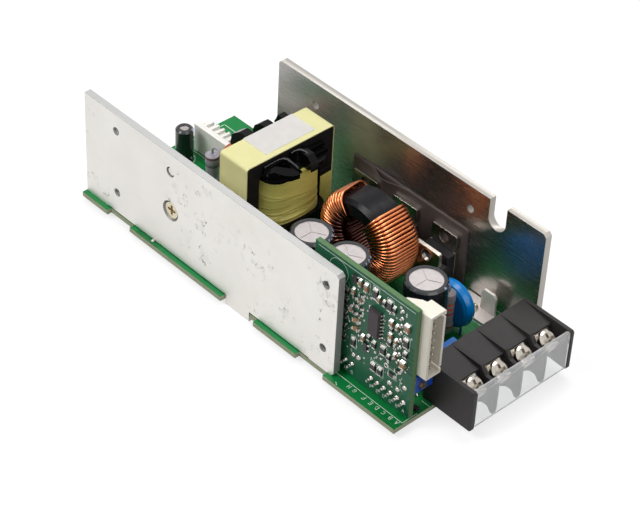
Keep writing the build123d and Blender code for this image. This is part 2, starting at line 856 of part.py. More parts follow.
def upright_resistor(centre, radius, length, seat, pitch):
    # Body on one lead; the other lead loops over the top and comes down beside it.
    neck = radius * 0.55
    profile = [
        (0, 0), (neck, 0), (radius * 0.96, 0.5), (radius, 1.2), (radius, 3.0), (radius * 0.9, 3.6),
        (radius * 0.9, length - 3.6), (radius, length - 3.0), (radius, length - 1.2),
        (radius * 0.96, length - 0.5), (neck, length), (0, length),
    ]
    body = revolve(Plane.XZ * make_face(Polyline(*profile, close=True)), Axis.Z)
    body = Pos(0, 0, seat) * body
    top = seat + length
    lower = rod(0, 0, -below, seat + 0.2, wire_r)
    bend = pitch / 2
    path = Line((0, 0, top - 0.2), (0, 0, top + 0.8))
    path += ThreePointArc((0, 0, top + 0.8), (bend, 0, top + 0.8 + abs(bend)), (pitch, 0, top + 0.8))
    path += Line((pitch, 0, top + 0.8), (pitch, 0, -below))
    loop = sweep(Pos(0, 0, top - 0.2) * Circle(wire_r), path=path)
    return Pos(centre[0], centre[1], 0) * joined([body, lower, loop])


def disc_body(radius, thickness):
    # Dipped disc, standing, with its axis along V.
    half = thickness / 2
    profile = [
        (0, -half), (radius * 0.8, -half), (radius * 0.94, -half * 0.7), (radius, 0),
        (radius * 0.94, half * 0.7), (radius * 0.8, half), (0, half),
    ]
    return revolve(make_face(Polyline(*profile, close=True)), Axis.Y)


def dipped_disc(centre, radius, thickness, seat, turn):
    body = Pos(0, 0, seat + radius) * disc_body(radius, thickness)
    parts = [body]
    for side in (-1, 1):
        parts.append(rod(side * radius / 2, 0, -below, seat + radius * 0.5, wire_r))
    return Pos(centre[0], centre[1], 0) * Rot(0, 0, turn) * joined(parts)


def film_capacitor():
    low = (film_start[0], film_start[1])
    wide, deep, tall = film_size
    box = span((low[0], low[0] + wide), (low[1], low[1] + deep), (film_seat, film_seat + tall))
    box = fillet(box.edges().group_by(Axis.Z)[-1], 0.4)
    middle = (low[0] + wide / 2, low[1] + deep / 2)
    parts = [box]
    for side in (-1, 1):
        parts.append(rod(middle[0], middle[1] + side * deep * 0.4, -below, film_seat + 0.2, wire_r))
    return joined(parts)


def control_board():
    plan = Pos(control_start + control_length / 2, (control_low + control_high) / 2) * Rectangle(
        control_length, control_high - control_low)
    for u in control_pin_places():
        plan -= Pos(u, control_pin_height) * Circle(pin_side / sqrt(2) + lead_hole)
    for w in wafer_pin_places():
        plan -= Pos(wafer_back + 1.6, w) * Circle(pin_side / sqrt(2) + lead_hole)
    board = extrude(Plane.XZ * plan, amount=-control_thickness)
    return Pos(0, control_near_face, 0) * board


def wafer_pin_places():
    return [wafer_low + wafer_end + i * wafer_pitch for i in range(wafer_ways)]


def control_board_pins():
    half = pin_side / 2
    corner = control_far_face + control_pin_reach
    pins = []
    for u in control_pin_places():
        start = control_near_face - control_pin_out
        outline = [
            (start, control_pin_height - half), (corner - half, control_pin_height - half),
            (corner - half, -below), (corner + half, -below),
            (corner + half, control_pin_height + half), (start, control_pin_height + half),
        ]
        pins.append(along(outline, u - half, u + half))
    return Compound(pins)


def control_board_rail():
    # Plastic strip that holds the angled pins against the board.
    places = control_pin_places()
    low = places[0] - control_pin_pitch / 2
    high = places[-1] + control_pin_pitch / 2
    corner = control_far_face + control_pin_reach
    strip = span((low, high), (control_far_face, corner - pin_side / 2 - 0.1), (control_pin_height - 1.1,
                 control_pin_height + 1.1))
    for u in control_pin_places():
        strip -= Pos(u, control_far_face, control_pin_height) * Box(pin_side, 6 * pin_side, pin_side)
    return strip


def control_chip():
    body = extrude(Rectangle(chip_width, chip_length), chip_height - 0.15, taper=5)
    body = Pos(0, 0, 0.15) * body
    dot = Pos(-chip_width / 2 + 0.8, chip_length / 2 - 0.8, chip_height) * Cylinder(0.3, 0.2)
    return Pos(chip_u, control_near_face, chip_w) * Rot(90, 0, 0) * (body - dot)


def control_chip_leads():
    reach = chip_lead_span / 2
    inner = chip_width / 2 - 0.1
    outline = [
        (inner, 0.65), (inner + 0.35, 0.65), (reach - 0.55, 0), (reach, 0), (reach, 0.2),
        (reach - 0.45, 0.2), (inner + 0.45, 0.85), (inner, 0.85),
    ]
    body = extrude(Rectangle(chip_width, chip_length), 3, taper=5)
    body = Pos(0, 0, 0.15) * body
    parts = []
    for side in (-1, 1):
        for i in range(chip_leads_a_side):
            middle = (i - (chip_leads_a_side - 1) / 2) * chip_lead_pitch
            points = [(side * x, z) for x, z in outline]
            lead = across(points, middle - 0.2, middle + 0.2) - body
            parts.append(lead)
    return Pos(chip_u, control_near_face, chip_w) * Rot(90, 0, 0) * Compound(parts)


def chips(places, height):
    # Small rectangular bodies soldered flat on the near face of the control board.
    face = control_near_face
    bodies = []
    for u, w, wide, tall in places:
        bodies.append(span((u - wide / 2, u + wide / 2), (face - height, face), (w - tall / 2, w + tall / 2)))
    return bodies


def black_chip_bodies():
    low = Box(*board_chip_size)
    return Compound(chips(black_chips, black_chip_height) + [Pos(*board_chip, board_chip_size[2] / 2) * low])


def wafer_housing():
    length = wafer_high - wafer_low
    depth = wafer_front - wafer_back
    ends = (-length / 2 + 1.9, length / 2 - 1.9)
    body = shroud(length, wafer_depth, depth, wafer_wall, wafer_floor, ends)
    # Turned so that its mouth faces +U and its length stands upright.
    body = Rot(0, 90, 0) * body
    middle = (wafer_back, control_far_face + wafer_depth / 2, (wafer_low + wafer_high) / 2)
    body = Pos(*middle) * body
    # The heel behind the mouth slopes away from the board.
    slope = [(wafer_back + u, control_far_face + v) for u, v in wafer_heel]
    far = control_far_face + wafer_depth + 1
    slope += [(slope[-1][0], far), (wafer_back - 1, far), (wafer_back - 1, slope[0][1])]
    heel = extrude(make_face(Polyline(*slope, close=True)), length + 2)
    body -= Pos(0, 0, wafer_low - 1) * heel
    for w in wafer_pin_places():
        body -= Pos(wafer_back + 1.6, control_far_face, w) * Box(pin_side, wafer_depth + pin_side, pin_side)
        run = wafer_floor - 1.6 + pin_side / 2
        body -= Pos(wafer_back + wafer_floor - run / 2, middle[1], w) * Box(run, pin_side, pin_side)
    return body


def wafer_pins():
    half = pin_side / 2
    corner = wafer_back + 1.6
    middle = control_far_face + wafer_depth / 2
    pins = []
    for w in wafer_pin_places():
        outline = [
            (corner - half, control_near_face - 0.6), (corner + half, control_near_face - 0.6),
            (corner + half, middle - half), (wafer_front - 2.6, middle - half),
            (wafer_front - 2.6, middle + half), (corner - half, middle + half),
        ]
        face = make_face(Polyline(*outline, close=True))
        pins.append(Pos(0, 0, w - half) * extrude(face, pin_side))
    return Compound(pins)


def trimmer_axis():
    v = control_far_face + trimmer_screw_across
    return (v, trimmer_low + trimmer_screw_up)


def trimmer_body():
    v = (control_far_face, control_far_face + trimmer_width)
    w = (trimmer_low, trimmer_low + trimmer_height)
    box = span((trimmer_front - trimmer_depth, trimmer_front), v, w)
    box = chamfer(box.edges().group_by(Axis.X)[-1], 0.3)
    axis = trimmer_axis()
    bore = Rot(0, 90, 0) * Cylinder(trimmer_screw_r + running_room, 2 * trimmer_screw_in)
    return box - Pos(trimmer_front, *axis) * bore


def trimmer_screw():
    screw = Cylinder(trimmer_screw_r, trimmer_screw_in + trimmer_screw_out - running_room)
    length = trimmer_screw_in + trimmer_screw_out - running_room
    screw -= Pos(0, 0, length / 2) * Box(trimmer_slot, 3 * trimmer_screw_r, 1.0)
    middle = trimmer_front + trimmer_screw_out - length / 2
    return Pos(middle, *trimmer_axis()) * Rot(0, 90, 0) * screw


def earth_bracket():
    # Base with cut corners; a tab is cut out of its far side and turned up, all in one sheet.
    plan = Rectangle(bracket_length, bracket_width)
    plan = chamfer(plan.vertices(), bracket_corner)
    base = Pos(bracket_u, bracket_v, 0) * extrude(plan, bracket_thickness)
    base -= rod(bracket_screw_u, bracket_screw_v, -1, 3, bracket_screw_r + screw_room)
    low = bracket_tab_start
    high = low + bracket_tab_width
    top = bracket_tab_height
    back = bracket_tab_v + bracket_thickness
    room = bracket_slot_room
    base -= span((low - room, high + room), (back, board_width), (-1, 3))
    outline = [(low, 0), (high, 0), (high, top - 1.2), (high - 0.9, top), (low + 0.9, top), (low, top - 1.2)]
    return base + across(outline, bracket_tab_v, back)


def bracket_screw():
    head = bracket_head_height
    profile = [
        (0, -below), (bracket_screw_r, -below), (bracket_screw_r, bracket_thickness),
        (bracket_head_r, bracket_thickness), (bracket_head_r, bracket_thickness + head * 0.4),
        (bracket_head_r * 0.6, bracket_thickness + head), (0, bracket_thickness + head),
    ]
    screw = revolve(Plane.XZ * make_face(Polyline(*profile, close=True)), Axis.Z)
    screw -= Pos(0, 0, bracket_thickness + head) * cross_tool(0.5, 1.9, 0.7)
    return Pos(bracket_screw_u, bracket_screw_v, 0) * screw


def fin_outline(front):
    return [
        (terminal_back, 0), (terminal_floor_front + 1.0, 0), (terminal_floor_front + 2.8, 1.5),
        (front - 2.4, 1.7), (front - 1.2, 0.1), (front - 0.3, 0.2), (front, 1.8), (front, fin_saddle + 0.4),
        (front - 1.7, fin_saddle - 0.1), (fin_shoulder + 1.9, fin_saddle), (fin_shoulder, terminal_top),
        (terminal_back, terminal_top),
    ]


def wall_outline():
    front = terminal_front
    return [
        (terminal_back, 0), (front - 0.6, 0), (front, 0.6), (front, terminal_top - 0.5),
        (front - 0.5, terminal_top), (terminal_back, terminal_top),
    ]


def cell_outline():
    # Roof, rear body and the sloping seat of the contacts, seen along V.
    return [
        (terminal_back, 0), (terminal_floor_front, 0), (terminal_floor_front, contact_low - 1.2),
        (contact_end()[0] - 0.9, contact_low - 1.2), (contact_end()[0] - 0.2, contact_low - 0.5),
        (contact_end()[0] - 0.2, contact_low + 0.2), (contact_start()[0], contact_high),
        (roof_front, contact_high), (roof_front, terminal_top - roof_drop),
        (terminal_back, terminal_top),
    ]


def contact_start():
    return (roof_front - 1.1, contact_high)


def contact_end():
    return (contact_start()[0] + contact_high - contact_low, contact_low)


def cell_slope():
    # Frame on the contact's face, with Z pointing out of the cell.
    start = contact_start()
    end = contact_end()
    return ((start[0] + end[0]) / 2, (start[1] + end[1]) / 2)


def terminal_block():
    low = terminal_v
    block = across(cell_outline(), low + terminal_wall / 2, low + terminal_width - terminal_wall / 2)
    for i in range(terminal_cells + 1):
        v = low + i * terminal_pitch
        ends = i in (0, terminal_cells)
        outline = wall_outline() if ends else fin_outline(fin_front)
        block += across(outline, v, v + terminal_wall)
    for wall_face in (low + terminal_wall, low + terminal_width - terminal_wall):
        socket = Rot(90, 0, 0) * Cylinder(peg_r + running_room, 2 * peg_length)
        block -= Pos(cover_pivot_u, wall_face, cover_pivot_w) * socket
    for v in cell_centres():
        block -= contact_shape(v)
        block -= on_slope(screw_hole(), v)
    return block


def on_slope(shape, v):
    centre = cell_slope()
    return Pos(centre[0], v + cell_offset, centre[1]) * Rot(0, 45, 0) * shape


def contact_shape(v):
    start = contact_start()
    end = contact_end()
    lean = contact_thickness / sqrt(2)
    outline = [start, end, (end[0] + lean, end[1] + lean), (start[0] + lean, start[1] + lean)]
    half = contact_width / 2
    middle = v + cell_offset
    blade = across(outline, middle - half, middle + half)
    pin_half = contact_pin / 2
    run = contact_high - contact_pin
    foot = [
        (contact_pin_u - pin_half, -below), (contact_pin_u + pin_half, -below),
        (contact_pin_u + pin_half, run), (start[0] + contact_pin, run),
        (start[0] + contact_pin + lean / 2, run + lean / 2),
        (start[0] + lean / 2, contact_high + lean / 2), (start[0], contact_high),
        (contact_pin_u - pin_half, contact_high),
    ]
    return blade + across(foot, v - pin_half, v + pin_half)


def terminal_contacts():
    bore = Cylinder(terminal_screw_r, 4 * contact_thickness)
    parts = [contact_shape(v) - on_slope(bore, v) for v in cell_centres()]
    return Compound(parts)


def screw_hole():
    depth = terminal_screw_length + 0.4
    return Pos(0, 0, -depth / 2) * Cylinder(terminal_screw_r + 0.02, depth)


def terminal_clamps():
    # Square pressure plate with two turned-down edges.
    seat = contact_thickness
    plate = RectangleRounded(clamp_side, clamp_side, 0.5)
    plate -= Circle(terminal_screw_r + screw_room)
    clamp = Pos(0, 0, seat) * extrude(plate, clamp_thickness)
    return Compound([on_slope(clamp, v) for v in cell_centres()])


def terminal_screws():
    seat = contact_thickness + clamp_thickness
    top = seat + terminal_head_height
    profile = [
        (0, seat - terminal_screw_length), (terminal_screw_r, seat - terminal_screw_length),
        (terminal_screw_r, seat), (terminal_head_r, seat), (terminal_head_r, top - 0.4),
        (terminal_head_r - 0.5, top), (0, top),
    ]
    screw = revolve(Plane.XZ * make_face(Polyline(*profile, close=True)), Axis.Z)
    screw -= Pos(0, 0, top) * cross_tool(0.9, 3.6, 1.1)
    return Compound([on_slope(screw, v) for v in cell_centres()])


def terminal_cover():
    low = terminal_v + terminal_wall + cover_side_room
    high = terminal_v + terminal_width - terminal_wall - cover_side_room
    front = cover_pivot_u + cover_barrel_r
    panel = across([(front - cover_thickness, cover_low), (front, cover_low), (front, cover_pivot_w),
                    (front - cover_thickness, cover_pivot_w)], low, high)
    barrel = Rot(90, 0, 0) * Cylinder(cover_barrel_r, high - low)
    peg = Rot(90, 0, 0) * Cylinder(peg_r, high - low + 2 * (cover_side_room + peg_length - 0.1))
    middle = Pos(cover_pivot_u, (low + high) / 2, cover_pivot_w)
    return panel + middle * barrel + middle * peg


def build():
    mosfet = mosfet_seat()
    parts = {
        "main_board": main_board(),
        "near_plate": near_plate(),
        "far_plate": far_plate(),
        "near_plate_screw": near_plate_screw(),
        "near_plate_pin": near_plate_pin(),
        "mosfet_nut": mosfet_nut(),
        "mosfet_pad": mosfet_pad(),
        "mosfet_frame": turned(device_frame(mosfet), screw_u, mosfet_back),
        "mosfet_body": turned(device_body(mosfet), screw_u, mosfet_back),
        "regulator_frame": turned(device_frame(regulator_seat), regulator_centre, regulator_face),
        "regulator_body": turned(device_body(regulator_seat), regulator_centre, regulator_face),
        "insulating_sheet": insulating_sheet(),
        "transformer_core_upper": core_half(True),
        "transformer_core_lower": core_half(False),
        "transformer_core_tape": transformer_core_tape(),
        "transformer_label": transformer_label(),
        "transformer_bobbin": transformer_bobbin(),
        "transformer_winding": transformer_winding(),
        "transformer_pins": transformer_pins(),
        "toroid_core": toroid_core(),
        "toroid_winding": toroid_winding(),
        "input_header": input_header(),
        "input_header_pins": input_header_pins(),
        "snubber_resistor": upright_resistor(snubber_centre, snubber_r, snubber_length, snubber_seat,
                                             snubber_pitch),
        "load_resistor": upright_resistor(load_centre, load_r, load_length, load_seat, load_pitch),
        "brown_capacitor": dipped_disc(brown_centre, brown_r, brown_thickness, brown_seat, 90),
        "disc_capacitor": dipped_disc(disc_centre, disc_r, disc_thickness, disc_seat, 0),
        "film_capacitor": film_capacitor(),
        "control_board": control_board(),
        "control_board_pins": control_board_pins(),
        "control_board_rail": control_board_rail(),
        "control_chip": control_chip(),
        "control_chip_leads": control_chip_leads(),
        "black_chips": black_chip_bodies(),
        "brown_chips": Compound(chips(brown_chips, brown_chip_height)),
        "output_header": wafer_housing(),
        "output_header_pins": wafer_pins(),
        "trimmer_body": trimmer_body(),
        "trimmer_screw": trimmer_screw(),
        "earth_bracket": earth_bracket(),
        "bracket_screw": bracket_screw(),
        "terminal_block": terminal_block(),
        "terminal_contacts": terminal_contacts(),
        "terminal_clamps": terminal_clamps(),
        "terminal_screws": terminal_screws(),
        "terminal_cover": terminal_cover(),
    }
    for i, centre in enumerate(rectifier_centres, 1):
        parts[f"rectifier_{i}_frame"] = on_sheet(device_frame(device_seat), centre)
        parts[f"rectifier_{i}_body"] = on_sheet(device_body(device_seat), centre)
    for i, centre in enumerate(capacitor_centres, 1):
        parts[f"capacitor_{i}_can"] = capacitor_can(centre, capacitor_r, capacitor_height, capacitor_pitch)
        parts[f"capacitor_{i}_sleeve"] = capacitor_sleeve(centre, capacitor_r, capacitor_height)
    parts["small_capacitor_can"] = capacitor_can(small_capacitor_centre, small_capacitor_r,
                                                 small_capacitor_height, small_capacitor_pitch)
    parts["small_capacitor_sleeve"] = capacitor_sleeve(small_capacitor_centre, small_capacitor_r,
                                                       small_capacitor_height)
    return parts


os.makedirs("parts", exist_ok=True)
for name, shape in build().items():
    export_step(place(shape), f"parts/{name}.step")
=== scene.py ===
import random
from math import cos, pi, radians, sin

import bmesh
import bpy
from mathutils import Matrix, Vector


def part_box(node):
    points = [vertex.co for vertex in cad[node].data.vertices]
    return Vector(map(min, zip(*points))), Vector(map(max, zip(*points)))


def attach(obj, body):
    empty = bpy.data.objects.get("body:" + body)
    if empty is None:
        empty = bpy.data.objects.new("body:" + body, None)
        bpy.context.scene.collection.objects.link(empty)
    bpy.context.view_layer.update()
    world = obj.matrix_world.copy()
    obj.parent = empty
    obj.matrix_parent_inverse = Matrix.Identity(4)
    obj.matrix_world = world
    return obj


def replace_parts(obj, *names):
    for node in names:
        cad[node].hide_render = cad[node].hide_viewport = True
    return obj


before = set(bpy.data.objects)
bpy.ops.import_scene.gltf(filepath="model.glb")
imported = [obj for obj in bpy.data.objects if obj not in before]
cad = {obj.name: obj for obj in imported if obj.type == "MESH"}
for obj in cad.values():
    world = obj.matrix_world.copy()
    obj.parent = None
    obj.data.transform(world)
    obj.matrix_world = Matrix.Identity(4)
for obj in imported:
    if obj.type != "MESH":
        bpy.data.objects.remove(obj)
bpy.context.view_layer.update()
MM = 0.001
SUPPLY = "supply"
HALF_LENGTH, HALF_WIDTH = 73.8, 30.2     # of the whole part
BOARD_TOP = 3.15                         # the main board's top face above the base
CONTROL_FACE = 5.5                       # V of the control board's near face
FLANGE_TOP = 30.9                        # W of the bobbin's upper flange
WELD = 3e-6                              # metres; corners closer than this are one
FALL = 2.718                             # base of every soft fall to nothing


# Places. U runs along the board, V across it and W up from its top face, in millimetres.

def at(u, v, w):
    return Vector(((u - HALF_LENGTH) * MM, (v - HALF_WIDTH) * MM, (w + BOARD_TOP) * MM))


CHOKE = at(82.8, 38.5, 15.2)


# Materials

def colour(text):
    """The linear values of an sRGB hex colour."""
    shares = [int(text[i:i + 2], 16) / 255 for i in (0, 2, 4)]
    linear = [s / 12.92 if s <= 0.04045 else ((s + 0.055) / 1.055) ** 2.4 for s in shares]
    return (*linear, 1.0)


def add(tree, kind, inputs=(), **settings):
    """A node with its settings; each input is a value or the socket that feeds it."""
    node = tree.nodes.new(kind)
    for name, value in settings.items():
        setattr(node, name, value)
    for name, value in dict(inputs).items():
        if isinstance(value, bpy.types.NodeSocket):
            tree.links.new(value, node.inputs[name])
        else:
            node.inputs[name].default_value = value
    return node


def start(name, **values):
    """A new material, its tree, its shader and the object's own coordinates in millimetres."""
    material = bpy.data.materials.new(name)
    material.use_nodes = True
    tree = material.node_tree
    shader = tree.nodes["Principled BSDF"]
    for socket, value in values.items():
        shader.inputs[socket.replace("_", " ")].default_value = value
    place = add(tree, "ShaderNodeTexCoord")
    scaled = add(tree, "ShaderNodeMapping", {"Vector": place.outputs["Object"], "Scale": (1000, 1000, 1000)})
    return material, tree, shader, scaled.outputs["Vector"]


def feed(shader, name, socket):
    """Leads a socket into one of the shader's inputs."""
    shader.id_data.links.new(socket, shader.inputs[name])


def mixed(tree, share, low, high):
    """The colour output between two colours, each a hex text or a socket."""
    low, high = (colour(end) if isinstance(end, str) else end for end in (low, high))
    return add(tree, "ShaderNodeMix", {0: share, 6: low, 7: high}, data_type="RGBA").outputs[2]


def calc(tree, operation, *values):
    """The result of a math node."""
    return add(tree, "ShaderNodeMath", dict(enumerate(values)), operation=operation).outputs[0]


def times(tree, first, *others):
    """The product of values."""
    for value in others:
        first = calc(tree, "MULTIPLY", first, value)
    return first


def noise(tree, place, scale, detail, **more):
    """Soft noise between 0 and 1, with its scale in spots a millimetre."""
    inputs = {"Vector": place, "Scale": scale, "Detail": detail, **more}
    return add(tree, "ShaderNodeTexNoise", inputs).outputs["Fac"]


def ranged(tree, value, given=(0.0, 1.0), to=(0.0, 1.0)):
    """A value carried from the given range to another."""
    return add(tree, "ShaderNodeMapRange", dict(enumerate((value, *given, *to)))).outputs[0]


def stretched(tree, place, scale, **more):
    """Coordinates scaled along each axis."""
    return add(tree, "ShaderNodeMapping", {"Vector": place, "Scale": scale, **more}).outputs[0]


def facing_of(tree):
    """The three parts of the way a face looks, in the piece's own directions."""
    normal = add(tree, "ShaderNodeTexCoord").outputs["Normal"]
    return add(tree, "ShaderNodeSeparateXYZ", {0: normal}).outputs


def turned_off(tree, part, limit):
    """One where a face looks along an axis by less than the limit, as a cut edge does."""
    return calc(tree, "LESS_THAN", calc(tree, "ABSOLUTE", part), limit)


def bumped(shader, height, depth, strength):
    """A height, scaled to a depth in metres, as relief on the shader."""
    inputs = {"Height": height, "Distance": depth, "Strength": strength}
    feed(shader, "Normal", add(shader.id_data, "ShaderNodeBump", inputs).outputs[0])


def solder_mask(name, green, edge, upright):
    # Glass-epoxy laminate, green solder mask printed over etched copper: the copper shows as a
    # slightly lighter green with crisp borders, the gloss is soft, and the cut edge is glass fibre.
    material, tree, shader, mm = start(name, IOR=1.5, Specular_IOR_Level=0.2)
    flat = stretched(tree, mm, (0.11, 0.16, 0.11))
    copper = add(tree, "ShaderNodeTexVoronoi", {"Vector": flat, "Scale": 1.0, "Randomness": 0.8},
                 distance="CHEBYCHEV")
    fields = add(tree, "ShaderNodeValToRGB", {"Fac": copper.outputs["Color"]})
    fields.color_ramp.interpolation = "CONSTANT"
    fields.color_ramp.elements[1].position = 0.42
    # Traces 0.4 mm wide and about 1.6 mm apart, along the board.
    lanes = add(tree, "ShaderNodeTexWave", {"Vector": mm, "Scale": 0.19, "Distortion": 3.0, "Detail": 0.0,
                                            "Detail Scale": 0.12}, bands_direction="Z" if upright else "Y")
    traces = calc(tree, "GREATER_THAN", lanes.outputs["Fac"], 0.86)
    shown = calc(tree, "MAXIMUM", traces, fields.outputs["Color"])
    deep = mixed(tree, noise(tree, mm, 0.14, 3.0), green[0], green[1])
    mask = mixed(tree, times(tree, shown, 0.45), deep, green[2])
    # The cut edge is told from the mask by the way it faces.
    facing = facing_of(tree)
    cut = turned_off(tree, facing["Y" if upright else "Z"], 0.6)
    laminate = mixed(tree, noise(tree, mm, 2.2, 4.0), *edge)
    feed(shader, "Base Color", mixed(tree, cut, mask, laminate))
    feed(shader, "Roughness", ranged(tree, cut, to=(0.32, 0.75)))
    # Woven glass under the mask, 0.4 mm a thread, and the step of the copper.
    bumped(shader, calc(tree, "ADD", shown, noise(tree, mm, 2.5, 1.0)), 0.00003, 0.5)
    return material


def mill_aluminium():
    # Rolled aluminium sheet, deburred and matt: pale warm grey with faint rolling lines along the
    # plate, small handling marks, and soft broad highlights.
    material, tree, shader, mm = start("mill aluminium sheet", Metallic=1.0)
    grain = stretched(tree, mm, (0.02, 1.0, 1.0))
    lines = noise(tree, grain, 6.0, 5.0, Roughness=0.7)
    cloud = noise(tree, mm, 0.07, 4.0, Roughness=0.6)
    tone = mixed(tree, cloud, "D8D5D0", "E6E4E0")
    # Scratches: hairlines about 0.15 mm wide, broken off where their patches end, and grey smears.
    lean = stretched(tree, mm, (1.0, 1.0, 0.6), Rotation=(0, 0.5, 0))
    hair = calc(tree, "COMPARE", noise(tree, lean, 0.4, 1.6), 0.5, 0.011)
    patch = ranged(tree, noise(tree, mm, 0.4, 2.0), (0.55, 0.66))
    spread = ranged(tree, noise(tree, mm, 0.06, 2.0), (0.49, 0.62))
    mark = times(tree, hair, patch, spread)
    worn = calc(tree, "MULTIPLY_ADD", mark, 0.85, times(tree, patch, spread, 0.10))
    shade = mixed(tree, worn, tone, "55524D")
    # Sheared edges are bluish grey. A thin darker line of painted shade runs along the outer arris, and a
    # bright line of painted highlight runs along the inner one.
    facing = facing_of(tree)
    cut = turned_off(tree, facing["Y"], 0.3)
    outer = calc(tree, "COMPARE", facing["Y"], -0.62, 0.3)
    inner = calc(tree, "COMPARE", facing["Y"], 0.62, 0.3)
    with_arris_shade = mixed(tree, outer, shade, "7F7D79")
    bright = mixed(tree, inner, with_arris_shade, "FBFBFA")
    feed(shader, "Base Color", mixed(tree, cut, bright, "ADADAC"))
    feed(shader, "Roughness", ranged(tree, lines, to=(0.48, 0.62)))
    bumped(shader, lines, 0.00002, 0.35)
    return material


def bright_aluminium():
    # The same sheet, bright on its inner face: it mirrors the parts, smeared up and down by fine
    # rolling lines; outer face and edges are matt.
    material, tree, shader, mm = start("bright rolled aluminium sheet", Metallic=1.0, Anisotropic=0.6)
    lie = add(tree, "ShaderNodeTangent", direction_type="RADIAL", axis="Z")
    feed(shader, "Tangent", lie.outputs[0])
    facing = facing_of(tree)
    inner = calc(tree, "LESS_THAN", facing["Y"], -0.8)
    grain = stretched(tree, mm, (0.03, 1.0, 1.0))
    lines = noise(tree, grain, 4.0, 4.0, Roughness=0.65)
    cloud = noise(tree, mm, 0.12, 4.0)
    pale = mixed(tree, cloud, "C4C1BC", "D6D3CF")
    mirror = mixed(tree, cloud, "A19E9B", "BAB7B4")
    # Wiped marks and specks on the bright face.
    few = ranged(tree, noise(tree, mm, 1.6, 2.0), (0.72, 0.76))
    cut = turned_off(tree, facing["Y"], 0.5)
    feed(shader, "Base Color", mixed(tree, cut, mixed(tree, inner, pale, mirror), "B2AEA8"))
    # A haze dulls the mirror toward the end by the transformer.
    along_board = add(tree, "ShaderNodeSeparateXYZ", {0: mm}).outputs["X"]
    haze = ranged(tree, along_board, (-45.0, 15.0), (0.74, 0.97))
    feed(shader, "Metallic", ranged(tree, inner, to=(1.0, haze)))
    calm = ranged(tree, lines, to=(0.25, 0.29))
    dull = ranged(tree, few, to=(calm, 0.5))
    feed(shader, "Roughness", ranged(tree, inner, to=(0.52, dull)))
    bumped(shader, lines, 0.00003, 0.03)
    return material


def plain_metal(name, tones, roughness, grit, metallic=1.0):
    # Plated, drawn or stamped metal: two close tones and a fine grain give it a slightly used look.
    material, tree, shader, mm = start(name, Metallic=metallic)
    cloud = noise(tree, mm, 0.6, 4.0)
    feed(shader, "Base Color", mixed(tree, cloud, *tones))
    grain = noise(tree, mm, grit, 4.0)
    feed(shader, "Roughness", ranged(tree, grain, to=(roughness - 0.08, roughness + 0.08)))
    bumped(shader, grain, 0.00002, 0.3)
    return material


def moulded(name, tones, roughness, texture, **values):
    # Moulded plastic or resin: one colour that drifts a little, and a skin texture in bump.
    # texture is (spots a millimetre, depth in millimetres).
    values = {"Specular_IOR_Level": 0.35, **values}
    material, tree, shader, mm = start(name, IOR=1.52, Roughness=roughness, **values)
    cloud = noise(tree, mm, 0.35, 3.0)
    feed(shader, "Base Color", mixed(tree, cloud, *tones))
    bumped(shader, noise(tree, mm, texture[0], 3.0), texture[1] * MM, 0.6)
    return material


def polyester_tape(name, tones, crease):
    # Yellow polyester film wound in layers: smooth and slightly glossy, its tone drifts a little, and
    # shallow creases run the way it is wound.
    material, tree, shader, mm = start(name, IOR=1.6, Roughness=0.34, Specular_IOR_Level=0.4)
    cloud = noise(tree, mm, 0.16, 3.0)
    feed(shader, "Base Color", mixed(tree, cloud, *tones))
    folds = noise(tree, stretched(tree, mm, crease), 1.0, 3.0, Distortion=0.6)
    bumped(shader, folds, 0.00035, 0.5)
    return material


def banded(name, axis_place, ground, bands):
    # Cement-coated resistor: dull grey with coloured rings at the heights given, in millimetres.
    material, tree, shader, mm = start(name, IOR=1.5, Roughness=0.55)
    height = add(tree, "ShaderNodeSeparateXYZ", {0: mm}).outputs["Z"]
    cloud = noise(tree, mm, 1.2, 4.0)
    shade = mixed(tree, cloud, *ground)
    for middle, wide, text in bands:
        near = calc(tree, "COMPARE", height, axis_place + middle, wide / 2)
        shade = mixed(tree, near, shade, text)
    feed(shader, "Base Color", shade)
    bumped(shader, cloud, 0.00008, 0.5)
    return material


def copper_wire():
    # Enamelled copper wire: the clear enamel gives an orange-brown metal with a wet coat, whose tone
    # drifts from turn to turn.
    material, tree, shader, mm = start("enamelled copper wire", Metallic=1.0, Roughness=0.24, Coat_Weight=0.7,
                                       Coat_Roughness=0.06)
    cloud = noise(tree, mm, 0.8, 3.0)
    outside = mixed(tree, cloud, "B9622F", "E8905A")
    # Painted shade: the turns in the bore of the choke are darkened to a deep red-brown, nearer the axis
    # more.
    from_middle = add(tree, "ShaderNodeVectorMath", {0: mm, 1: CHOKE / MM}, operation="SUBTRACT").outputs[0]
    level = add(tree, "ShaderNodeVectorMath", {0: from_middle, 1: (1, 0, 1)}, operation="MULTIPLY").outputs[0]
    from_axis = add(tree, "ShaderNodeVectorMath", {0: level}, operation="LENGTH").outputs["Value"]
    deep = ranged(tree, from_axis, (8.0, 11.5), (1.0, 0.0))
    feed(shader, "Base Color", mixed(tree, deep, outside, "4E1E10"))
    return material


def sleeve_with_rim_glints():
    # Shrunk polyester sleeve: glossy black, slightly wavy, with pale bluish dashes of painted reflection on
    # its far rim.
    material, tree, shader, mm = start("shrunk black sleeve", IOR=1.6, Roughness=0.22)
    cloud = noise(tree, mm, 0.5, 2.0)
    black = mixed(tree, cloud, "0E0F12", "1C1E22")
    # Painted reflection: pale bluish dashes only where the rim faces up and away, on the far edge of the can.
    facing = facing_of(tree)
    above = calc(tree, "GREATER_THAN", facing["Z"], 0.3)
    beyond = calc(tree, "GREATER_THAN", facing["Y"], 0.12)
    rim_glints = ranged(tree, noise(tree, mm, 0.75, 0.0), (0.54, 0.57))
    feed(shader, "Base Color", mixed(tree, times(tree, above, beyond, rim_glints), black, "8C9AB4"))
    bumped(shader, cloud, 0.0002, 0.4)
    return material


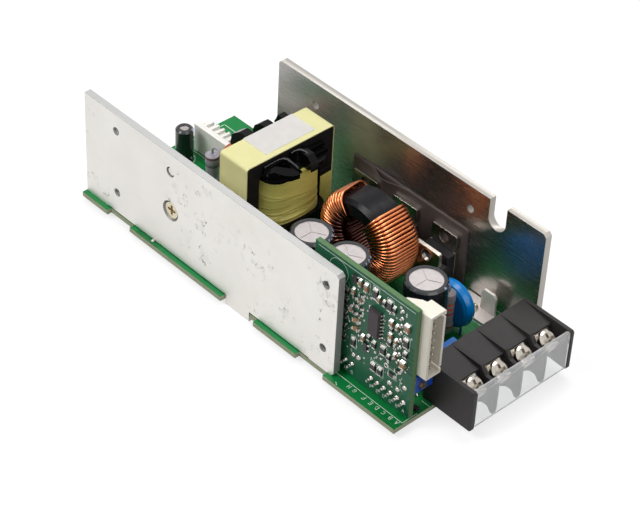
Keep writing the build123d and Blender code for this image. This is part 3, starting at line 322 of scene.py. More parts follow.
def clear_cover():
    # Clear polycarbonate, moulded thin: nearly invisible, with a faint haze over what lies behind it.
    material, tree, shader, mm = start("clear polycarbonate", IOR=1.45, Roughness=0.02,
                                       Transmission_Weight=0.82, Specular_IOR_Level=0.25)
    haze = noise(tree, mm, 0.4, 3.0)
    feed(shader, "Base Color", mixed(tree, haze, "F6F8F9", "FFFFFF"))
    feed(shader, "Roughness", ranged(tree, haze, to=(0.01, 0.05)))
    return material


mask_main = solder_mask("bright green solder mask", ("005E28", "007232", "188749"), ("8E957A", "B4B79C"),
                        False)
mask_control = solder_mask("deep green solder mask", ("084026", "125335", "327155"), ("37613F", "6E8660"),
                           True)
sheet_aluminium = mill_aluminium()
bright_sheet = bright_aluminium()
zinc = plain_metal("yellow passivated zinc", ("B9A98A", "E3DCC8"), 0.28, 3.0)
tin = plain_metal("tin plating", ("A9A5A1", "CFCBC6"), 0.34, 4.0)
bright_tin = plain_metal("bright tinned leads", ("D2CEC9", "F0EDE9"), 0.24, 4.0)
screw_nickel = plain_metal("polished nickel", ("A59E95", "D8D1C6"), 0.13, 1.5)
solder = plain_metal("solder", ("9A9692", "C9C5C1"), 0.26, 2.0)
nickel = plain_metal("nickel plated steel", ("A39D95", "D3CCC2"), 0.24, 2.5)
dull_tin = plain_metal("tin plated sheet", ("D6CEC7", "E8E1DB"), 0.5, 3.0, 0.55)
drawn_can = plain_metal("drawn aluminium can", ("A7A1A0", "C0B9B8"), 0.42, 2.0)
brass = plain_metal("turned brass", ("8E7B63", "C4AE8C"), 0.32, 3.0)
epoxy = moulded("moulded black epoxy", ("161518", "232226"), 0.55, (6.0, 0.02))
chip_epoxy = moulded("moulded grey-black epoxy", ("322C30", "423B3F"), 0.6, (8.0, 0.02))
pad_silicone = moulded("grey silicone pad", ("6C6F72", "84878A"), 0.7, (4.0, 0.03))
film_sheet = moulded("dark insulating film", ("463D3B", "564A47"), 0.45, (0.25, 0.25))
ferrite = moulded("sintered ferrite", ("0C0A0B", "161314"), 0.5, (5.0, 0.04), Specular_IOR_Level=0.2)
phenolic = moulded("moulded black phenolic", ("040405", "0A0A0B"), 0.2, (1.2, 0.03), Specular_IOR_Level=0.12)
glossy_phenolic = moulded("glossy black phenolic", ("050506", "0C0C0D"), 0.18, (1.2, 0.03),
                          Specular_IOR_Level=0.55)
powder = moulded("painted iron powder core", ("0A090B", "131115"), 0.26, (0.6, 0.1), Specular_IOR_Level=0.14)
paper = moulded("white paper label", ("C0BDBA", "CECBC7"), 0.65, (0.35, 0.12), Specular_IOR_Level=0.2)
nylon = moulded("natural nylon", ("DAD4C5", "E8E2D6"), 0.42, (2.0, 0.02), Subsurface_Weight=0.12,
                Subsurface_Radius=(0.002, 0.0015, 0.001))
white_nylon = moulded("white nylon", ("DCDAD4", "EAE8E3"), 0.45, (2.0, 0.02))
blue_epoxy = moulded("dipped blue epoxy", ("0064AA", "0084D0"), 0.2, (0.5, 0.12), Specular_IOR_Level=0.35)
brown_coat = moulded("dipped red-brown coating", ("8A3A1E", "B4532C"), 0.3, (0.8, 0.1))
blue_case = moulded("moulded blue plastic", ("1C56A0", "2E6BB4"), 0.4, (1.5, 0.03))
deep_blue_case = moulded("moulded deep blue plastic", ("00368C", "0748A8"), 0.34, (1.5, 0.02))
terminal_resin = moulded("moulded black polyester", ("1B1818", "272323"), 0.6, (3.0, 0.05))
tape = polyester_tape("yellow polyester tape", ("C9C489", "D6D29B"), (0.5, 0.1, 0.12))
winding_tape = polyester_tape("wound yellow polyester tape", ("C0B75B", "DCD37A"), (0.18, 0.18, 1.1))
sleeve = sleeve_with_rim_glints()
copper = copper_wire()
clear = clear_cover()
snubber_coat = banded("grey coated resistor", 5.15, ("8A8690", "A5A0A9"),
                      ((11.0, 0.7, "6A4A4E"), (8.0, 0.8, "6B666E")))
load_coat = banded("banded grey resistor", 5.55, ("6B6668", "8A8587"),
                   ((10.6, 0.7, "B4502A"), (8.9, 0.7, "A8442A"), (7.2, 0.7, "8F3A34"), (2.6, 0.7, "6E4A3A")))
brown_chip = moulded("sintered brown chip capacitor", ("8A6A4C", "A88462"), 0.45, (4.0, 0.03))
black_chip = moulded("black glazed chip resistor", ("19181B", "2A292D"), 0.3, (4.0, 0.02))
ink = moulded("white legend ink", ("CFE3D2", "EDF5EC"), 0.6, (5.0, 0.01))


# Pieces

def linked(name, data):
    """A new object in the scene."""
    thing = bpy.data.objects.new(name, data)
    bpy.context.scene.collection.objects.link(thing)
    return thing


def new_piece(name, mesh, material, body=SUPPLY):
    piece = linked(name, mesh)
    if material is not None:
        mesh.materials.clear()
        mesh.materials.append(material)
    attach(piece, body)
    return piece


def merged(node):
    """A copy of a CAD node's mesh with its loose triangles joined into whole faces."""
    mesh = cad[node].data.copy()
    shape = bmesh.new()
    shape.from_mesh(mesh)
    bmesh.ops.remove_doubles(shape, verts=shape.verts, dist=WELD)
    bmesh.ops.dissolve_limit(shape, angle_limit=radians(0.6), verts=shape.verts, edges=shape.edges)
    for face in shape.faces:
        face.smooth = True
    for edge in shape.edges:
        if len(edge.link_faces) == 2 and edge.calc_face_angle() > radians(30):
            edge.smooth = False
    shape.to_mesh(mesh)
    shape.free()
    return mesh


def rounded(piece, width, segments=2, sharp=30):
    """Rounds the edges that are sharper than an angle in degrees, by a width in millimetres."""
    rounding = piece.modifiers.new("rounding", "BEVEL")
    rounding.width = width * MM
    rounding.segments = segments
    rounding.limit_method = "ANGLE"
    rounding.angle_limit = radians(sharp)
    rounding.harden_normals = True


def extent(node):
    """The lowest and highest corner of a CAD node."""
    return [Vector(corner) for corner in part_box(node)]


def eased(node, material, width, segments=2, body=SUPPLY):
    """The CAD node with its sharp edges rounded by a width in millimetres."""
    piece = new_piece(node + "_dressed", merged(node), material, body)
    rounded(piece, width, segments, 32)
    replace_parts(piece, node)


def grown(name, tree, sizes, material, points=()):
    """A plain mesh made by a geometry tree, with its named sizes set, from points if it needs any."""
    mesh = bpy.data.meshes.new(name + "_seed")
    mesh.from_pydata([tuple(p) for p in points], [], [])
    seed = linked(name + "_seed", mesh)
    modifier = seed.modifiers.new("grow", "NODES")
    modifier.node_group = tree
    values = {**sizes, "Material": material}
    for socket in tree.interface.items_tree:
        if socket.in_out == "INPUT" and socket.name in values:
            modifier[socket.identifier] = values[socket.name]
    bpy.context.view_layer.update()
    graph = bpy.context.evaluated_depsgraph_get()
    result = bpy.data.meshes.new_from_object(seed.evaluated_get(graph), depsgraph=graph)
    seed.modifiers.clear()
    bpy.data.objects.remove(seed)
    bpy.data.meshes.remove(mesh)
    result.name = name
    return new_piece(name, result, None if result.materials else material)


def geo(tree, kind, inputs=(), **settings):
    """The first output of a geometry node."""
    return add(tree, "GeometryNode" + kind, inputs, **settings).outputs[0]


def vector(tree, **parts):
    """A vector made of its parts X, Y and Z."""
    return add(tree, "ShaderNodeCombineXYZ", parts).outputs[0]


def chance(tree, low, high, index, seed):
    """A number between two limits that is the same each time for one index and seed."""
    return add(tree, "FunctionNodeRandomValue", {2: low, 3: high, "ID": index, "Seed": seed}).outputs[1]


def new_tree(name, **labels):
    """A geometry tree with named inputs of the given kinds, and one for the material."""
    tree = bpy.data.node_groups.new(name, "GeometryNodeTree")
    tree.interface.new_socket("Geometry", in_out="OUTPUT", socket_type="NodeSocketGeometry")
    for kind, names in {"Geometry": ("Geometry",), **labels, "Material": ("Material",)}.items():
        for label in names:
            tree.interface.new_socket(label, in_out="INPUT", socket_type="NodeSocket" + kind)
    return tree, add(tree, "NodeGroupInput").outputs


def close_tree(tree, geometry, material):
    """Ends a tree in Realize Instances and Set Material."""
    real = geo(tree, "RealizeInstances", {"Geometry": geometry})
    dressed = geo(tree, "SetMaterial", {"Geometry": real, "Material": material})
    add(tree, "NodeGroupOutput", {0: dressed})
    return tree


def wound_turns():
    """Rounded turns of wire side by side round a ring whose axis is Y, in two layers inside it."""
    tree, sizes = new_tree(
        "wound turns", Float=("Start", "Step", "Wire Radius", "Core Inner Radius", "Core Outer Radius",
                              "Core Width", "Slack", "Jitter", "Lean", "Tilt", "Bend"),
        Int=("Turns", "Seed"), Vector=("Centre",))
    wire = geo(tree, "CurvePrimitiveCircle", {"Resolution": 8, "Radius": sizes["Wire Radius"]})
    gap = times(tree, sizes["Wire Radius"], 2.0)
    turns = []
    for layer in (0, 1):
        # The second layer sits inside the first in the bore, where the turns crowd.
        crowd = times(tree, gap, 0.95 * layer)
        bore = calc(tree, "SUBTRACT", sizes["Core Inner Radius"], crowd)
        deep = calc(tree, "SUBTRACT", sizes["Core Outer Radius"], bore)
        across = calc(tree, "ADD", deep, gap)
        along = calc(tree, "ADD", sizes["Core Width"], gap)
        middle = times(tree, calc(tree, "ADD", sizes["Core Outer Radius"], bore), 0.5)
        frame_curve = geo(tree, "CurvePrimitiveQuadrilateral", {"Width": across, "Height": along})
        soft = geo(tree, "FilletCurve", {"Curve": frame_curve, "Count": 7, "Radius": sizes["Bend"]},
                   mode="POLY")
        tube = geo(tree, "CurveToMesh", {"Curve": soft, "Profile Curve": wire})
        moved = geo(tree, "Transform", {"Geometry": tube, "Translation": vector(tree, X=middle)})
        smooth = geo(tree, "SetShadeSmooth", {"Geometry": moved})
        turns.append(geo(tree, "GeometryToInstance", {0: smooth}))
    joined = add(tree, "GeometryNodeJoinGeometry")
    for turn in turns:
        tree.links.new(turn, joined.inputs[0])
    spots = geo(tree, "MeshLine", {"Count": sizes["Turns"], "Offset": (0, 0, 0)})
    index = geo(tree, "InputIndex")
    parity = calc(tree, "MODULO", index, 2.0)
    plain = calc(tree, "MULTIPLY_ADD", index, sizes["Step"], sizes["Start"])
    shake = chance(tree, times(tree, sizes["Jitter"], -1.0), sizes["Jitter"], index, sizes["Seed"])
    back = times(tree, calc(tree, "ADD", plain, shake), -1.0)
    slant = chance(tree, times(tree, sizes["Lean"], -1.0), sizes["Lean"], index, sizes["Seed"])
    # The first turns are tilted most, and the rest less and less.
    left = calc(tree, "SUBTRACT", 1.0, calc(tree, "DIVIDE", index, sizes["Turns"]))
    tilted = calc(tree, "MULTIPLY_ADD", left, sizes["Tilt"], slant)
    turn = vector(tree, X=tilted, Y=back)
    placed = geo(tree, "InstanceOnPoints", {
        "Points": spots, "Instance": joined.outputs[0], "Pick Instance": True, "Instance Index": parity,
        "Rotation": turn})
    push = vector(tree, X=chance(tree, 0.0, sizes["Slack"], index, 11))
    pulled = geo(tree, "TranslateInstances", {"Instances": placed, "Translation": push, "Local Space": True})
    seated = geo(tree, "Transform", {"Geometry": pulled, "Translation": sizes["Centre"]})
    return close_tree(tree, seated, sizes["Material"])


def solder_drops():
    """Solder drops on given points: low domes flattened along one axis, each a little different."""
    tree, sizes = new_tree("solder drops", Float=("Radius", "Spread"), Int=("Seed",), Vector=("Flatness",))
    ball = geo(tree, "MeshIcoSphere", {"Radius": sizes["Radius"], "Subdivisions": 2})
    flat = geo(tree, "Transform", {"Geometry": ball, "Scale": sizes["Flatness"]})
    smooth = geo(tree, "SetShadeSmooth", {"Geometry": flat})
    index = geo(tree, "InputIndex")
    small = calc(tree, "SUBTRACT", 1.0, sizes["Spread"])
    large = calc(tree, "ADD", 1.0, sizes["Spread"])
    scale = chance(tree, small, large, index, sizes["Seed"])
    placed = geo(tree, "InstanceOnPoints", {"Points": sizes["Geometry"], "Instance": smooth, "Scale": scale})
    return close_tree(tree, placed, sizes["Material"])


def solder_cones():
    """Solder drawn up round leads: waisted cones along Z, turned as asked, each a little different."""
    tree, sizes = new_tree("solder cones", Float=("Base Radius", "Tip Radius", "Height", "Waist"),
                           Int=("Seed",), Vector=("Turn",))
    cone = geo(tree, "MeshCone", {"Vertices": 14, "Side Segments": 5, "Radius Top": sizes["Tip Radius"],
                                  "Radius Bottom": sizes["Base Radius"], "Depth": sizes["Height"]})
    place = geo(tree, "InputPosition")
    height = add(tree, "ShaderNodeSeparateXYZ", {0: place}).outputs["Z"]
    share = calc(tree, "DIVIDE", height, sizes["Height"])
    belly = calc(tree, "SINE", times(tree, share, pi))
    narrow = calc(tree, "SUBTRACT", 1.0, times(tree, belly, sizes["Waist"]))
    scale = vector(tree, X=narrow, Y=narrow, Z=1.0)
    moved = add(tree, "ShaderNodeVectorMath", {0: place, 1: scale}, operation="MULTIPLY").outputs[0]
    waisted = geo(tree, "SetPosition", {"Geometry": cone, "Position": moved})
    smooth = geo(tree, "SetShadeSmooth", {"Geometry": waisted})
    index = geo(tree, "InputIndex")
    size = chance(tree, 0.85, 1.12, index, sizes["Seed"])
    placed = geo(tree, "InstanceOnPoints", {"Points": sizes["Geometry"], "Instance": smooth,
                                            "Rotation": sizes["Turn"], "Scale": size})
    return close_tree(tree, placed, sizes["Material"])


def thread_ridges():
    """Rings stacked along Y in each hole, for the ridges of a cut thread."""
    tree, sizes = new_tree("thread ridges", Float=("Hole Radius", "Ridge", "Pitch"), Int=("Ridges",))
    path = geo(tree, "CurvePrimitiveCircle", {"Resolution": 28, "Radius": sizes["Hole Radius"]})
    section = geo(tree, "CurvePrimitiveCircle", {"Resolution": 5, "Radius": sizes["Ridge"]})
    ring = geo(tree, "CurveToMesh", {"Curve": path, "Profile Curve": section})
    smooth = geo(tree, "SetShadeSmooth", {"Geometry": ring})
    last = calc(tree, "SUBTRACT", sizes["Ridges"], 1.0)
    first = vector(tree, Z=times(tree, last, sizes["Pitch"], -0.5))
    step = vector(tree, Z=sizes["Pitch"])
    line = geo(tree, "MeshLine", {"Count": sizes["Ridges"], "Start Location": first, "Offset": step})
    stack = geo(tree, "InstanceOnPoints", {"Points": line, "Instance": smooth})
    placed = geo(tree, "InstanceOnPoints", {"Points": sizes["Geometry"], "Instance": stack,
                                            "Rotation": (pi / 2, 0, 0)})
    return close_tree(tree, placed, sizes["Material"])


def solids_of(node):
    """The lowest and highest corner of each separate solid in a CAD node, in order."""
    shape = bmesh.new()
    shape.from_mesh(cad[node].data)
    bmesh.ops.remove_doubles(shape, verts=shape.verts, dist=WELD)
    shape.verts.index_update()
    waiting = {vert.index: vert for vert in shape.verts}
    corners = []
    while waiting:
        first = waiting.popitem()[1]
        group, rim = [first.co.copy()], [first]
        while rim:
            for edge in rim.pop().link_edges:
                for vert in edge.verts:
                    if vert.index in waiting:
                        del waiting[vert.index]
                        group.append(vert.co.copy())
                        rim.append(vert)
        low = Vector([min(point[i] for point in group) for i in range(3)])
        high = Vector([max(point[i] for point in group) for i in range(3)])
        corners.append((low, high))
    shape.free()
    return sorted(corners, key=lambda pair: tuple(pair[0]))


def skin(shape, loops):
    """Faces between neighbouring closed loops of corners."""
    for near, far in zip(loops, loops[1:]):
        for i in range(len(near)):
            j = (i + 1) % len(near)
            shape.faces.new((near[i], near[j], far[j], far[i]))


def block(shape, first, last):
    """A closed body between two four-sided ends, given corner by corner."""
    ends = [[shape.verts.new(corner) for corner in loop] for loop in (first, last)]
    shape.faces.new(ends[0])
    shape.faces.new(ends[1])
    skin(shape, ends)


def thickened(piece, thickness):
    """Gives a sheet without thickness one in millimetres, half of it on each side."""
    wall = piece.modifiers.new("thickness", "SOLIDIFY")
    wall.thickness = thickness * MM
    wall.offset = 0.0


def made(shape, name, material, rounding=0.0, smooth=False):
    """Turns a finished bmesh into a piece, its faces outwards and its edges rounded in millimetres."""
    bmesh.ops.recalc_face_normals(shape, faces=shape.faces)
    for face in shape.faces:
        face.smooth = smooth or rounding > 0
    mesh = bpy.data.meshes.new(name)
    shape.to_mesh(mesh)
    shape.free()
    piece = new_piece(name, mesh, material)
    if rounding > 0:
        rounded(piece, rounding)
    return piece


def strokes(name, lines, place, width):
    """Printed lines: each is a list of points, drawn as a thin flat ribbon of ink on a face."""
    shape = bmesh.new()
    for line in lines:
        for a, b in zip(line, line[1:]):
            a, b = Vector(a), Vector(b)
            side = Vector((-(b - a).y, (b - a).x)).normalized() * width / 2
            run = (b - a).normalized() * width / 2
            corners = [a - run - side, b + run - side, b + run + side, a - run + side]
            shape.faces.new([shape.verts.new(place(*c)) for c in corners])
    thickened(made(shape, name, ink), 0.03)


LETTERS = {
    "A": (((0, 0), (0.35, 1), (0.7, 0)), ((0.15, 0.4), (0.55, 0.4))),
    "B": (((0, 0), (0, 1), (0.5, 0.95), (0.55, 0.6), (0, 0.5), (0.6, 0.45), (0.6, 0.05), (0, 0)),),
    "C": (((0.65, 0.85), (0.35, 1), (0, 0.7), (0, 0.3), (0.35, 0), (0.65, 0.15)),),
    "D": (((0, 0), (0, 1), (0.4, 0.95), (0.65, 0.6), (0.65, 0.35), (0.4, 0.05), (0, 0)),),
    "E": (((0.6, 1), (0, 1), (0, 0), (0.6, 0)), ((0, 0.5), (0.5, 0.5))),
    "F": (((0.6, 1), (0, 1), (0, 0)), ((0, 0.5), (0.5, 0.5))),
    "G": (((0.65, 0.85), (0.35, 1), (0, 0.7), (0, 0.3), (0.35, 0), (0.65, 0.15), (0.65, 0.5), (0.4, 0.5)),),
    "H": (((0, 0), (0, 1)), ((0.6, 0), (0.6, 1)), ((0, 0.5), (0.6, 0.5))),
}


def legend(places, height):
    """The strokes of single letters, each centred on its own place; a negative height turns them round."""
    lines = []
    for letter, x, y in places:
        for line in LETTERS[letter]:
            lines.append([(x + (a - 0.3) * height, y + (b - 0.5) * height) for a, b in line])
    return lines


def ring_line(u, v, radius, steps=36):
    """A drawn circle."""
    return [(u + radius * cos(2 * pi * i / steps),
             v + radius * sin(2 * pi * i / steps)) for i in range(steps + 1)]


def box_line(u0, v0, u1, v1):
    """A drawn rectangle."""
    return [(u0, v0), (u1, v0), (u1, v1), (u0, v1), (u0, v0)]


# Boards and plates

eased("main_board", mask_main, 0.12)
eased("control_board", mask_control, 0.10)
eased("near_plate", sheet_aluminium, 0.28, 3)
eased("far_plate", bright_sheet, 0.28, 3)
eased("near_plate_screw", zinc, 0.08)
eased("near_plate_pin", sheet_aluminium, 0.06)
eased("mosfet_nut", zinc, 0.15)
eased("mosfet_pad", pad_silicone, 0.08)

# Power devices

for stem in ("mosfet", "regulator", "rectifier_1", "rectifier_2", "rectifier_3"):
    eased(stem + "_frame", nickel, 0.10)
    eased(stem + "_body", epoxy, 0.15)

# Plastics and small metal parts

for node, finish, width in (
        ("input_header", white_nylon, 0.15), ("control_board_rail", epoxy, 0.1),
        ("film_capacitor", blue_case, 0.35), ("trimmer_body", deep_blue_case, 0.15),
        ("control_chip", chip_epoxy, 0.06), ("black_chips", black_chip, 0.06),
        ("brown_chips", brown_chip, 0.08), ("terminal_block", terminal_resin, 0.15),
        ("terminal_clamps", nickel, 0.12), ("terminal_contacts", nickel, 0.12),
        ("terminal_screws", screw_nickel, 0.08),
        ("earth_bracket", dull_tin, 0.12), ("bracket_screw", zinc, 0.06),
        ("transformer_bobbin", phenolic, 0.25),
        ("transformer_core_upper", ferrite, 0.2), ("transformer_core_lower", ferrite, 0.2),
        ("transformer_core_tape", tape, 0.05), ("transformer_label", paper, 0.02)):
    eased(node, finish, width)
eased("output_header", nylon, 0.10)
eased("terminal_cover", clear, 0.12, body="cover")
eased("trimmer_screw", brass, 0.06, body="trimmer")

CANS = ("capacitor_1", "capacitor_2", "capacitor_3", "small_capacitor")
for node, finish in (
        ("insulating_sheet", film_sheet), ("transformer_pins", tin), ("input_header_pins", tin),
        ("control_board_pins", tin), ("control_chip_leads", bright_tin), ("output_header_pins", tin),
        ("toroid_core", powder), ("transformer_winding", winding_tape), ("snubber_resistor", snubber_coat),
        ("load_resistor", load_coat), ("brown_capacitor", brown_coat), ("disc_capacitor", blue_epoxy),
        *((stem + "_can", drawn_can) for stem in CANS), *((stem + "_sleeve", sleeve) for stem in CANS)):
    slots = cad[node].data.materials
    slots.clear()
    slots.append(finish)

# Choke winding: neat turns over most of the ring, and slack ones on the side of the transformer

NEAT_TURNS, NEAT_STEP, NEAT_END = 51, 4.45, 420.0     # degrees round the ring
turns = wound_turns()
wire = {"Wire Radius": 0.47 * MM, "Core Inner Radius": 7.35 * MM, "Core Outer Radius": 14.1 * MM,
        "Core Width": 12.4 * MM, "Centre": CHOKE}
neat = grown("choke_winding", turns, {
    **wire, "Turns": NEAT_TURNS, "Start": radians(NEAT_END - (NEAT_TURNS - 1) * NEAT_STEP),
    "Step": radians(NEAT_STEP), "Slack": 0.08 * MM, "Jitter": radians(0.2), "Lean": 0.008,
    "Bend": 3.2 * MM, "Seed": 3}, copper)
slack = grown("choke_slack_turns", turns, {
    **wire, "Turns": 15, "Start": radians(125.0), "Step": radians(4.9), "Slack": 0.45 * MM,
    "Jitter": radians(0.6), "Lean": 0.03, "Tilt": 0.28, "Bend": 3.4 * MM, "Seed": 8}, copper)
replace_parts(neat, "toroid_winding")
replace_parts(slack, "toroid_winding")
# Both ends of the wire go down through the board
END_REACH, END_MIDDLE, END_RADIUS, END_LENGTH = (size * MM for size in (7.3, 2.2, 0.5, 4.2))
ends = bmesh.new()
for side in (-1, 1):
    bmesh.ops.create_cone(
        ends, cap_ends=True, segments=16, radius1=END_RADIUS, radius2=END_RADIUS, depth=END_LENGTH,
        matrix=Matrix.Translation((CHOKE.x + side * END_REACH, CHOKE.y, END_MIDDLE)))
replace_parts(made(ends, "choke_wire_ends", copper, smooth=True), "toroid_winding")


# Transformer winding, wound in tape

def wrapped_winding():
    """The taped winding: a barrel whose skin steps and creases where the layers of tape end."""
    low, high = extent("transformer_winding")
    middle = (low + high) / 2
    reach = (high - low) / 2
    dice = random.Random(12)
    folds = []
    for _ in range(17):
        # Height on the barrel, slope round it, place, width round it, depth and softness, in millimetres.
        folds.append((dice.uniform(0.03, 0.86) ** 1.15, dice.uniform(-1.6, 0.9), dice.uniform(-1.4, 0.7),
                      dice.uniform(0.6, 1.6), dice.uniform(0.16, 0.42), dice.uniform(0.35, 0.8)))
    shape = bmesh.new()
    tall, round_steps = 110, 132
    grid = []
    for i in range(tall + 1):
        t = i / tall
        z = low.z + t * (high.z - low.z)
        row = []
        for j in range(round_steps):
            a = 2 * pi * j / round_steps
            side = (abs(cos(a) / reach.x) ** 3 + abs(sin(a) / reach.y) ** 3) ** (-1 / 3)
            inset = 0.35 + 0.8 * abs(t - 0.36) ** 2
            for share, slope, place, wide, deep, soft in folds:
                away = (a - place + pi) % (2 * pi) - pi
                level = ((t - share) * (high.z - low.z) / MM - slope * away) / soft
                ridge = FALL ** (-level) if level > 0 else FALL ** (4 * level)
                fade = FALL ** (-(away / wide) ** 2)
                inset += deep * (0.45 - ridge) * fade * min(1.0, 6 * t * (1 - t) + 0.2)
            # Fine turns of the tape's edges near the top.
            inset += 0.03 * sin(t * 150) * (0.4 + 0.6 * t)
            r = side - max(inset, 0.02) * MM
            row.append(shape.verts.new((middle.x + r * cos(a), middle.y + r * sin(a), z)))
        grid.append(row)
    hole = []
    for z in (low.z, high.z):
        row = []
        for j in range(round_steps):
            a = 2 * pi * j / round_steps
            r = (abs(cos(a) / 7.0) ** 16 + abs(sin(a) / 6.2) ** 16) ** (-1 / 16) * MM
            row.append(shape.verts.new((middle.x + r * cos(a), middle.y + r * sin(a), z)))
        hole.append(row)
    skin(shape, [hole[0], *grid, hole[1], hole[0]])
    return made(shape, "taped_winding", winding_tape, smooth=True)


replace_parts(wrapped_winding(), "transformer_winding")

# Tape over the lower part of the core leg beside the choke
leg = bmesh.new()
core_low, core_high = extent("transformer_core_lower")
corners = [(core_high.y - side * MM, core_low.z + rise * MM)
           for side, rise in ((4.5, 0.3), (0.1, 0.3), (0.1, 12.4), (4.5, 12.1))]
block(leg, *([(core_high.x + out * MM, y, z) for y, z in corners] for out in (0.02, 0.14)))
made(leg, "core_leg_tape", winding_tape, 0.04)


# Arched walls that guide the wires over the near flange of the bobbin

def along(path, steps=6):
    """A smooth run through the points of a path."""
    points = [Vector(p) for p in path]
    ends = [2 * points[0] - points[1], *points, 2 * points[-1] - points[-2]]
    run = []
    for a, b, c, d in zip(ends, ends[1:], ends[2:], ends[3:]):
        for i in range(steps):
            t = i / steps
            run.append(0.5 * (2 * b + (c - a) * t + (2 * a - 5 * b + 4 * c - d) * t * t
                              + (3 * b - a - 3 * c + d) * t ** 3))
    return [*run, points[-1]]


def guide_wall(name, thick, path):
    """A wall under a path of (U, V, top), down to the bobbin's flange, in millimetres."""
    run = along(path)
    shape = bmesh.new()
    loops = []
    for i, point in enumerate(run):
        way = run[min(i + 1, len(run) - 1)] - run[max(i - 1, 0)]
        side = Vector((-way.y, way.x, 0)).normalized() * thick / 2
        left, right = point - side, point + side
        corners = [(left, FLANGE_TOP), (right, FLANGE_TOP), (right, point.z), (left, point.z)]
        loops.append([shape.verts.new(at(p.x, p.y, w)) for p, w in corners])
    skin(shape, loops)
    shape.faces.new(loops[0])
    shape.faces.new(loops[-1])
    made(shape, name, glossy_phenolic, 0.25)


for name, thick, path in (
        ("guide_arch", 0.8, ((58.7, 19.2, 34.6), (58.7, 22.3, 34.7), (58.9, 25.2, 34.8), (60.2, 26.6, 34.7),
                             (62.2, 27.2, 34.0), (63.6, 28.0, 32.9), (63.9, 28.9, 31.6))),
        ("guide_ridge", 0.6, ((59.9, 19.2, 32.2), (59.9, 22.0, 32.3), (60.3, 24.6, 32.3), (61.6, 25.5, 32.2),
                              (63.2, 25.9, 31.9))),
        ("guide_curl", 0.9, ((58.7, 29.2, 34.8), (58.7, 30.9, 34.9), (59.3, 32.3, 34.9), (60.8, 33.2, 34.6),
                             (62.4, 33.5, 33.9), (63.7, 34.1, 32.9), (64.2, 35.2, 31.8))),
        ("guide_ledge", 0.6, ((58.6, 35.4, 32.1), (58.6, 38.6, 32.1), (59.2, 41.2, 32.0),
                              (61.0, 40.2, 31.8)))):
    guide_wall(name, thick, path)


# Insulating sheet in two layers; the front one has lifted between two of the rectifiers

def insulating_layers():
    low, high = extent("insulating_sheet")
    lift_middle, lift_half, lift = at(72.3, 0, 0).x, 4.6 * MM, 2.3 * MM
    shape = bmesh.new()
    columns, rows = 110, 22
    for depth, swell in ((0.28 * MM, 0.0), (0.08 * MM, lift)):
        grid = []
        for i in range(columns + 1):
            x = low.x + (high.x - low.x) * i / columns
            column = []
            for j in range(rows + 1):
                t = j / rows
                bulge = swell * FALL ** (-((x - lift_middle) / lift_half) ** 2) * t ** 5
                ripple = 0.04 * MM * sin(x / MM * 0.9 + t * 2) * t
                y = low.y + depth - bulge + ripple
                column.append(shape.verts.new((x, y, low.z + (high.z - low.z) * t)))
            grid.append(column)
        for left, right in zip(grid, grid[1:]):
            for j in range(rows):
                shape.faces.new((left[j], right[j], right[j + 1], left[j + 1]))
    piece = made(shape, "insulating_layers", film_sheet, smooth=True)
    thickened(piece, 0.14)
    return piece


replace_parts(insulating_layers(), "insulating_sheet")

# Chips, legs and solder on the control board

BOARD_FACE = at(0, CONTROL_FACE, 0).y
TRANSISTOR_LENGTH, LARGE_CHIP = 2.9, 2.3     # lengths that tell them from the small chips


def on_face(u, w):
    """A place on the near face of the control board."""
    return at(u, CONTROL_FACE, w)


def bridge(shape, across, first, last):
    """Metal along the board's face; an end is its place, half widths and heights, low and high."""
    out = Vector((0, -1, 0))
    loops = []
    for place, low_half, high_half, low, high in (first, last):
        corners = ((-low_half, low), (low_half, low), (high_half, high), (-high_half, high))
        loops.append([place + across * side + out * rise for side, rise in corners])
    block(shape, *loops)


def chip_metal(shape, low, high):
    """Adds a chip's caps and solder, or a transistor's legs; returns a large chip's printed frame."""
    size = high - low
    upright = size.z > size.x
    long_side, short_side = (size.z, size.x) if upright else (size.x, size.z)
    middle = Vector(((low.x + high.x) / 2, BOARD_FACE, (low.z + high.z) / 2))
    if abs(long_side - TRANSISTOR_LENGTH * MM) < 0.05 * MM:
        # One leg on one side, two on the other.
        for way, shift in ((-1, 0.0), (1, -0.95), (1, 0.95)):
            root = middle + Vector((way * short_side / 2, 0, shift * MM))
            foot = root + Vector((way * 0.75 * MM, 0, 0))
            bridge(shape, Vector((0, 0, 1)), (root, 0.2 * MM, 0.2 * MM, 0.2 * MM, 0.38 * MM),
                   (foot, 0.3 * MM, 0.22 * MM, 0.0, 0.2 * MM))
        return []
    thick = size.y + 0.04 * MM
    half = short_side / 2 + 0.04 * MM
    wrap = min(0.34 * MM, long_side / 4)
    across = Vector((1, 0, 0)) if upright else Vector((0, 0, 1))
    for way in (-1, 1):
        along = Vector((0, 0, way)) if upright else Vector((way, 0, 0))
        base = middle + along * long_side / 2
        bridge(shape, across, (base - along * wrap, half, half, 0.0, thick),
               (base + along * 0.05 * MM, half, half, 0.0, thick))
        bridge(shape, across, (base + along * 0.04 * MM, half, half * 0.9, 0.0, thick * 0.8),
               (base + along * 0.5 * MM, half + 0.1 * MM, half * 0.8, 0.0, 0.1 * MM))
    if long_side < LARGE_CHIP * MM:
        return []
    (u0, w0), (u1, w1) = ((end.x / MM + HALF_LENGTH, end.z / MM - BOARD_TOP) for end in (low, high))
    return [box_line(u0 - 0.4, w0 - 0.75, u1 + 0.4, w1 + 0.75)]


CHIPS = [pair for node in ("black_chips", "brown_chips") for pair in solids_of(node)]
ends = bmesh.new()
frames = []
for low, high in CHIPS:
    if high.y < BOARD_FACE + 0.5 * MM:
        frames += chip_metal(ends, low, high)
made(ends, "chip_ends", solder, 0.05)

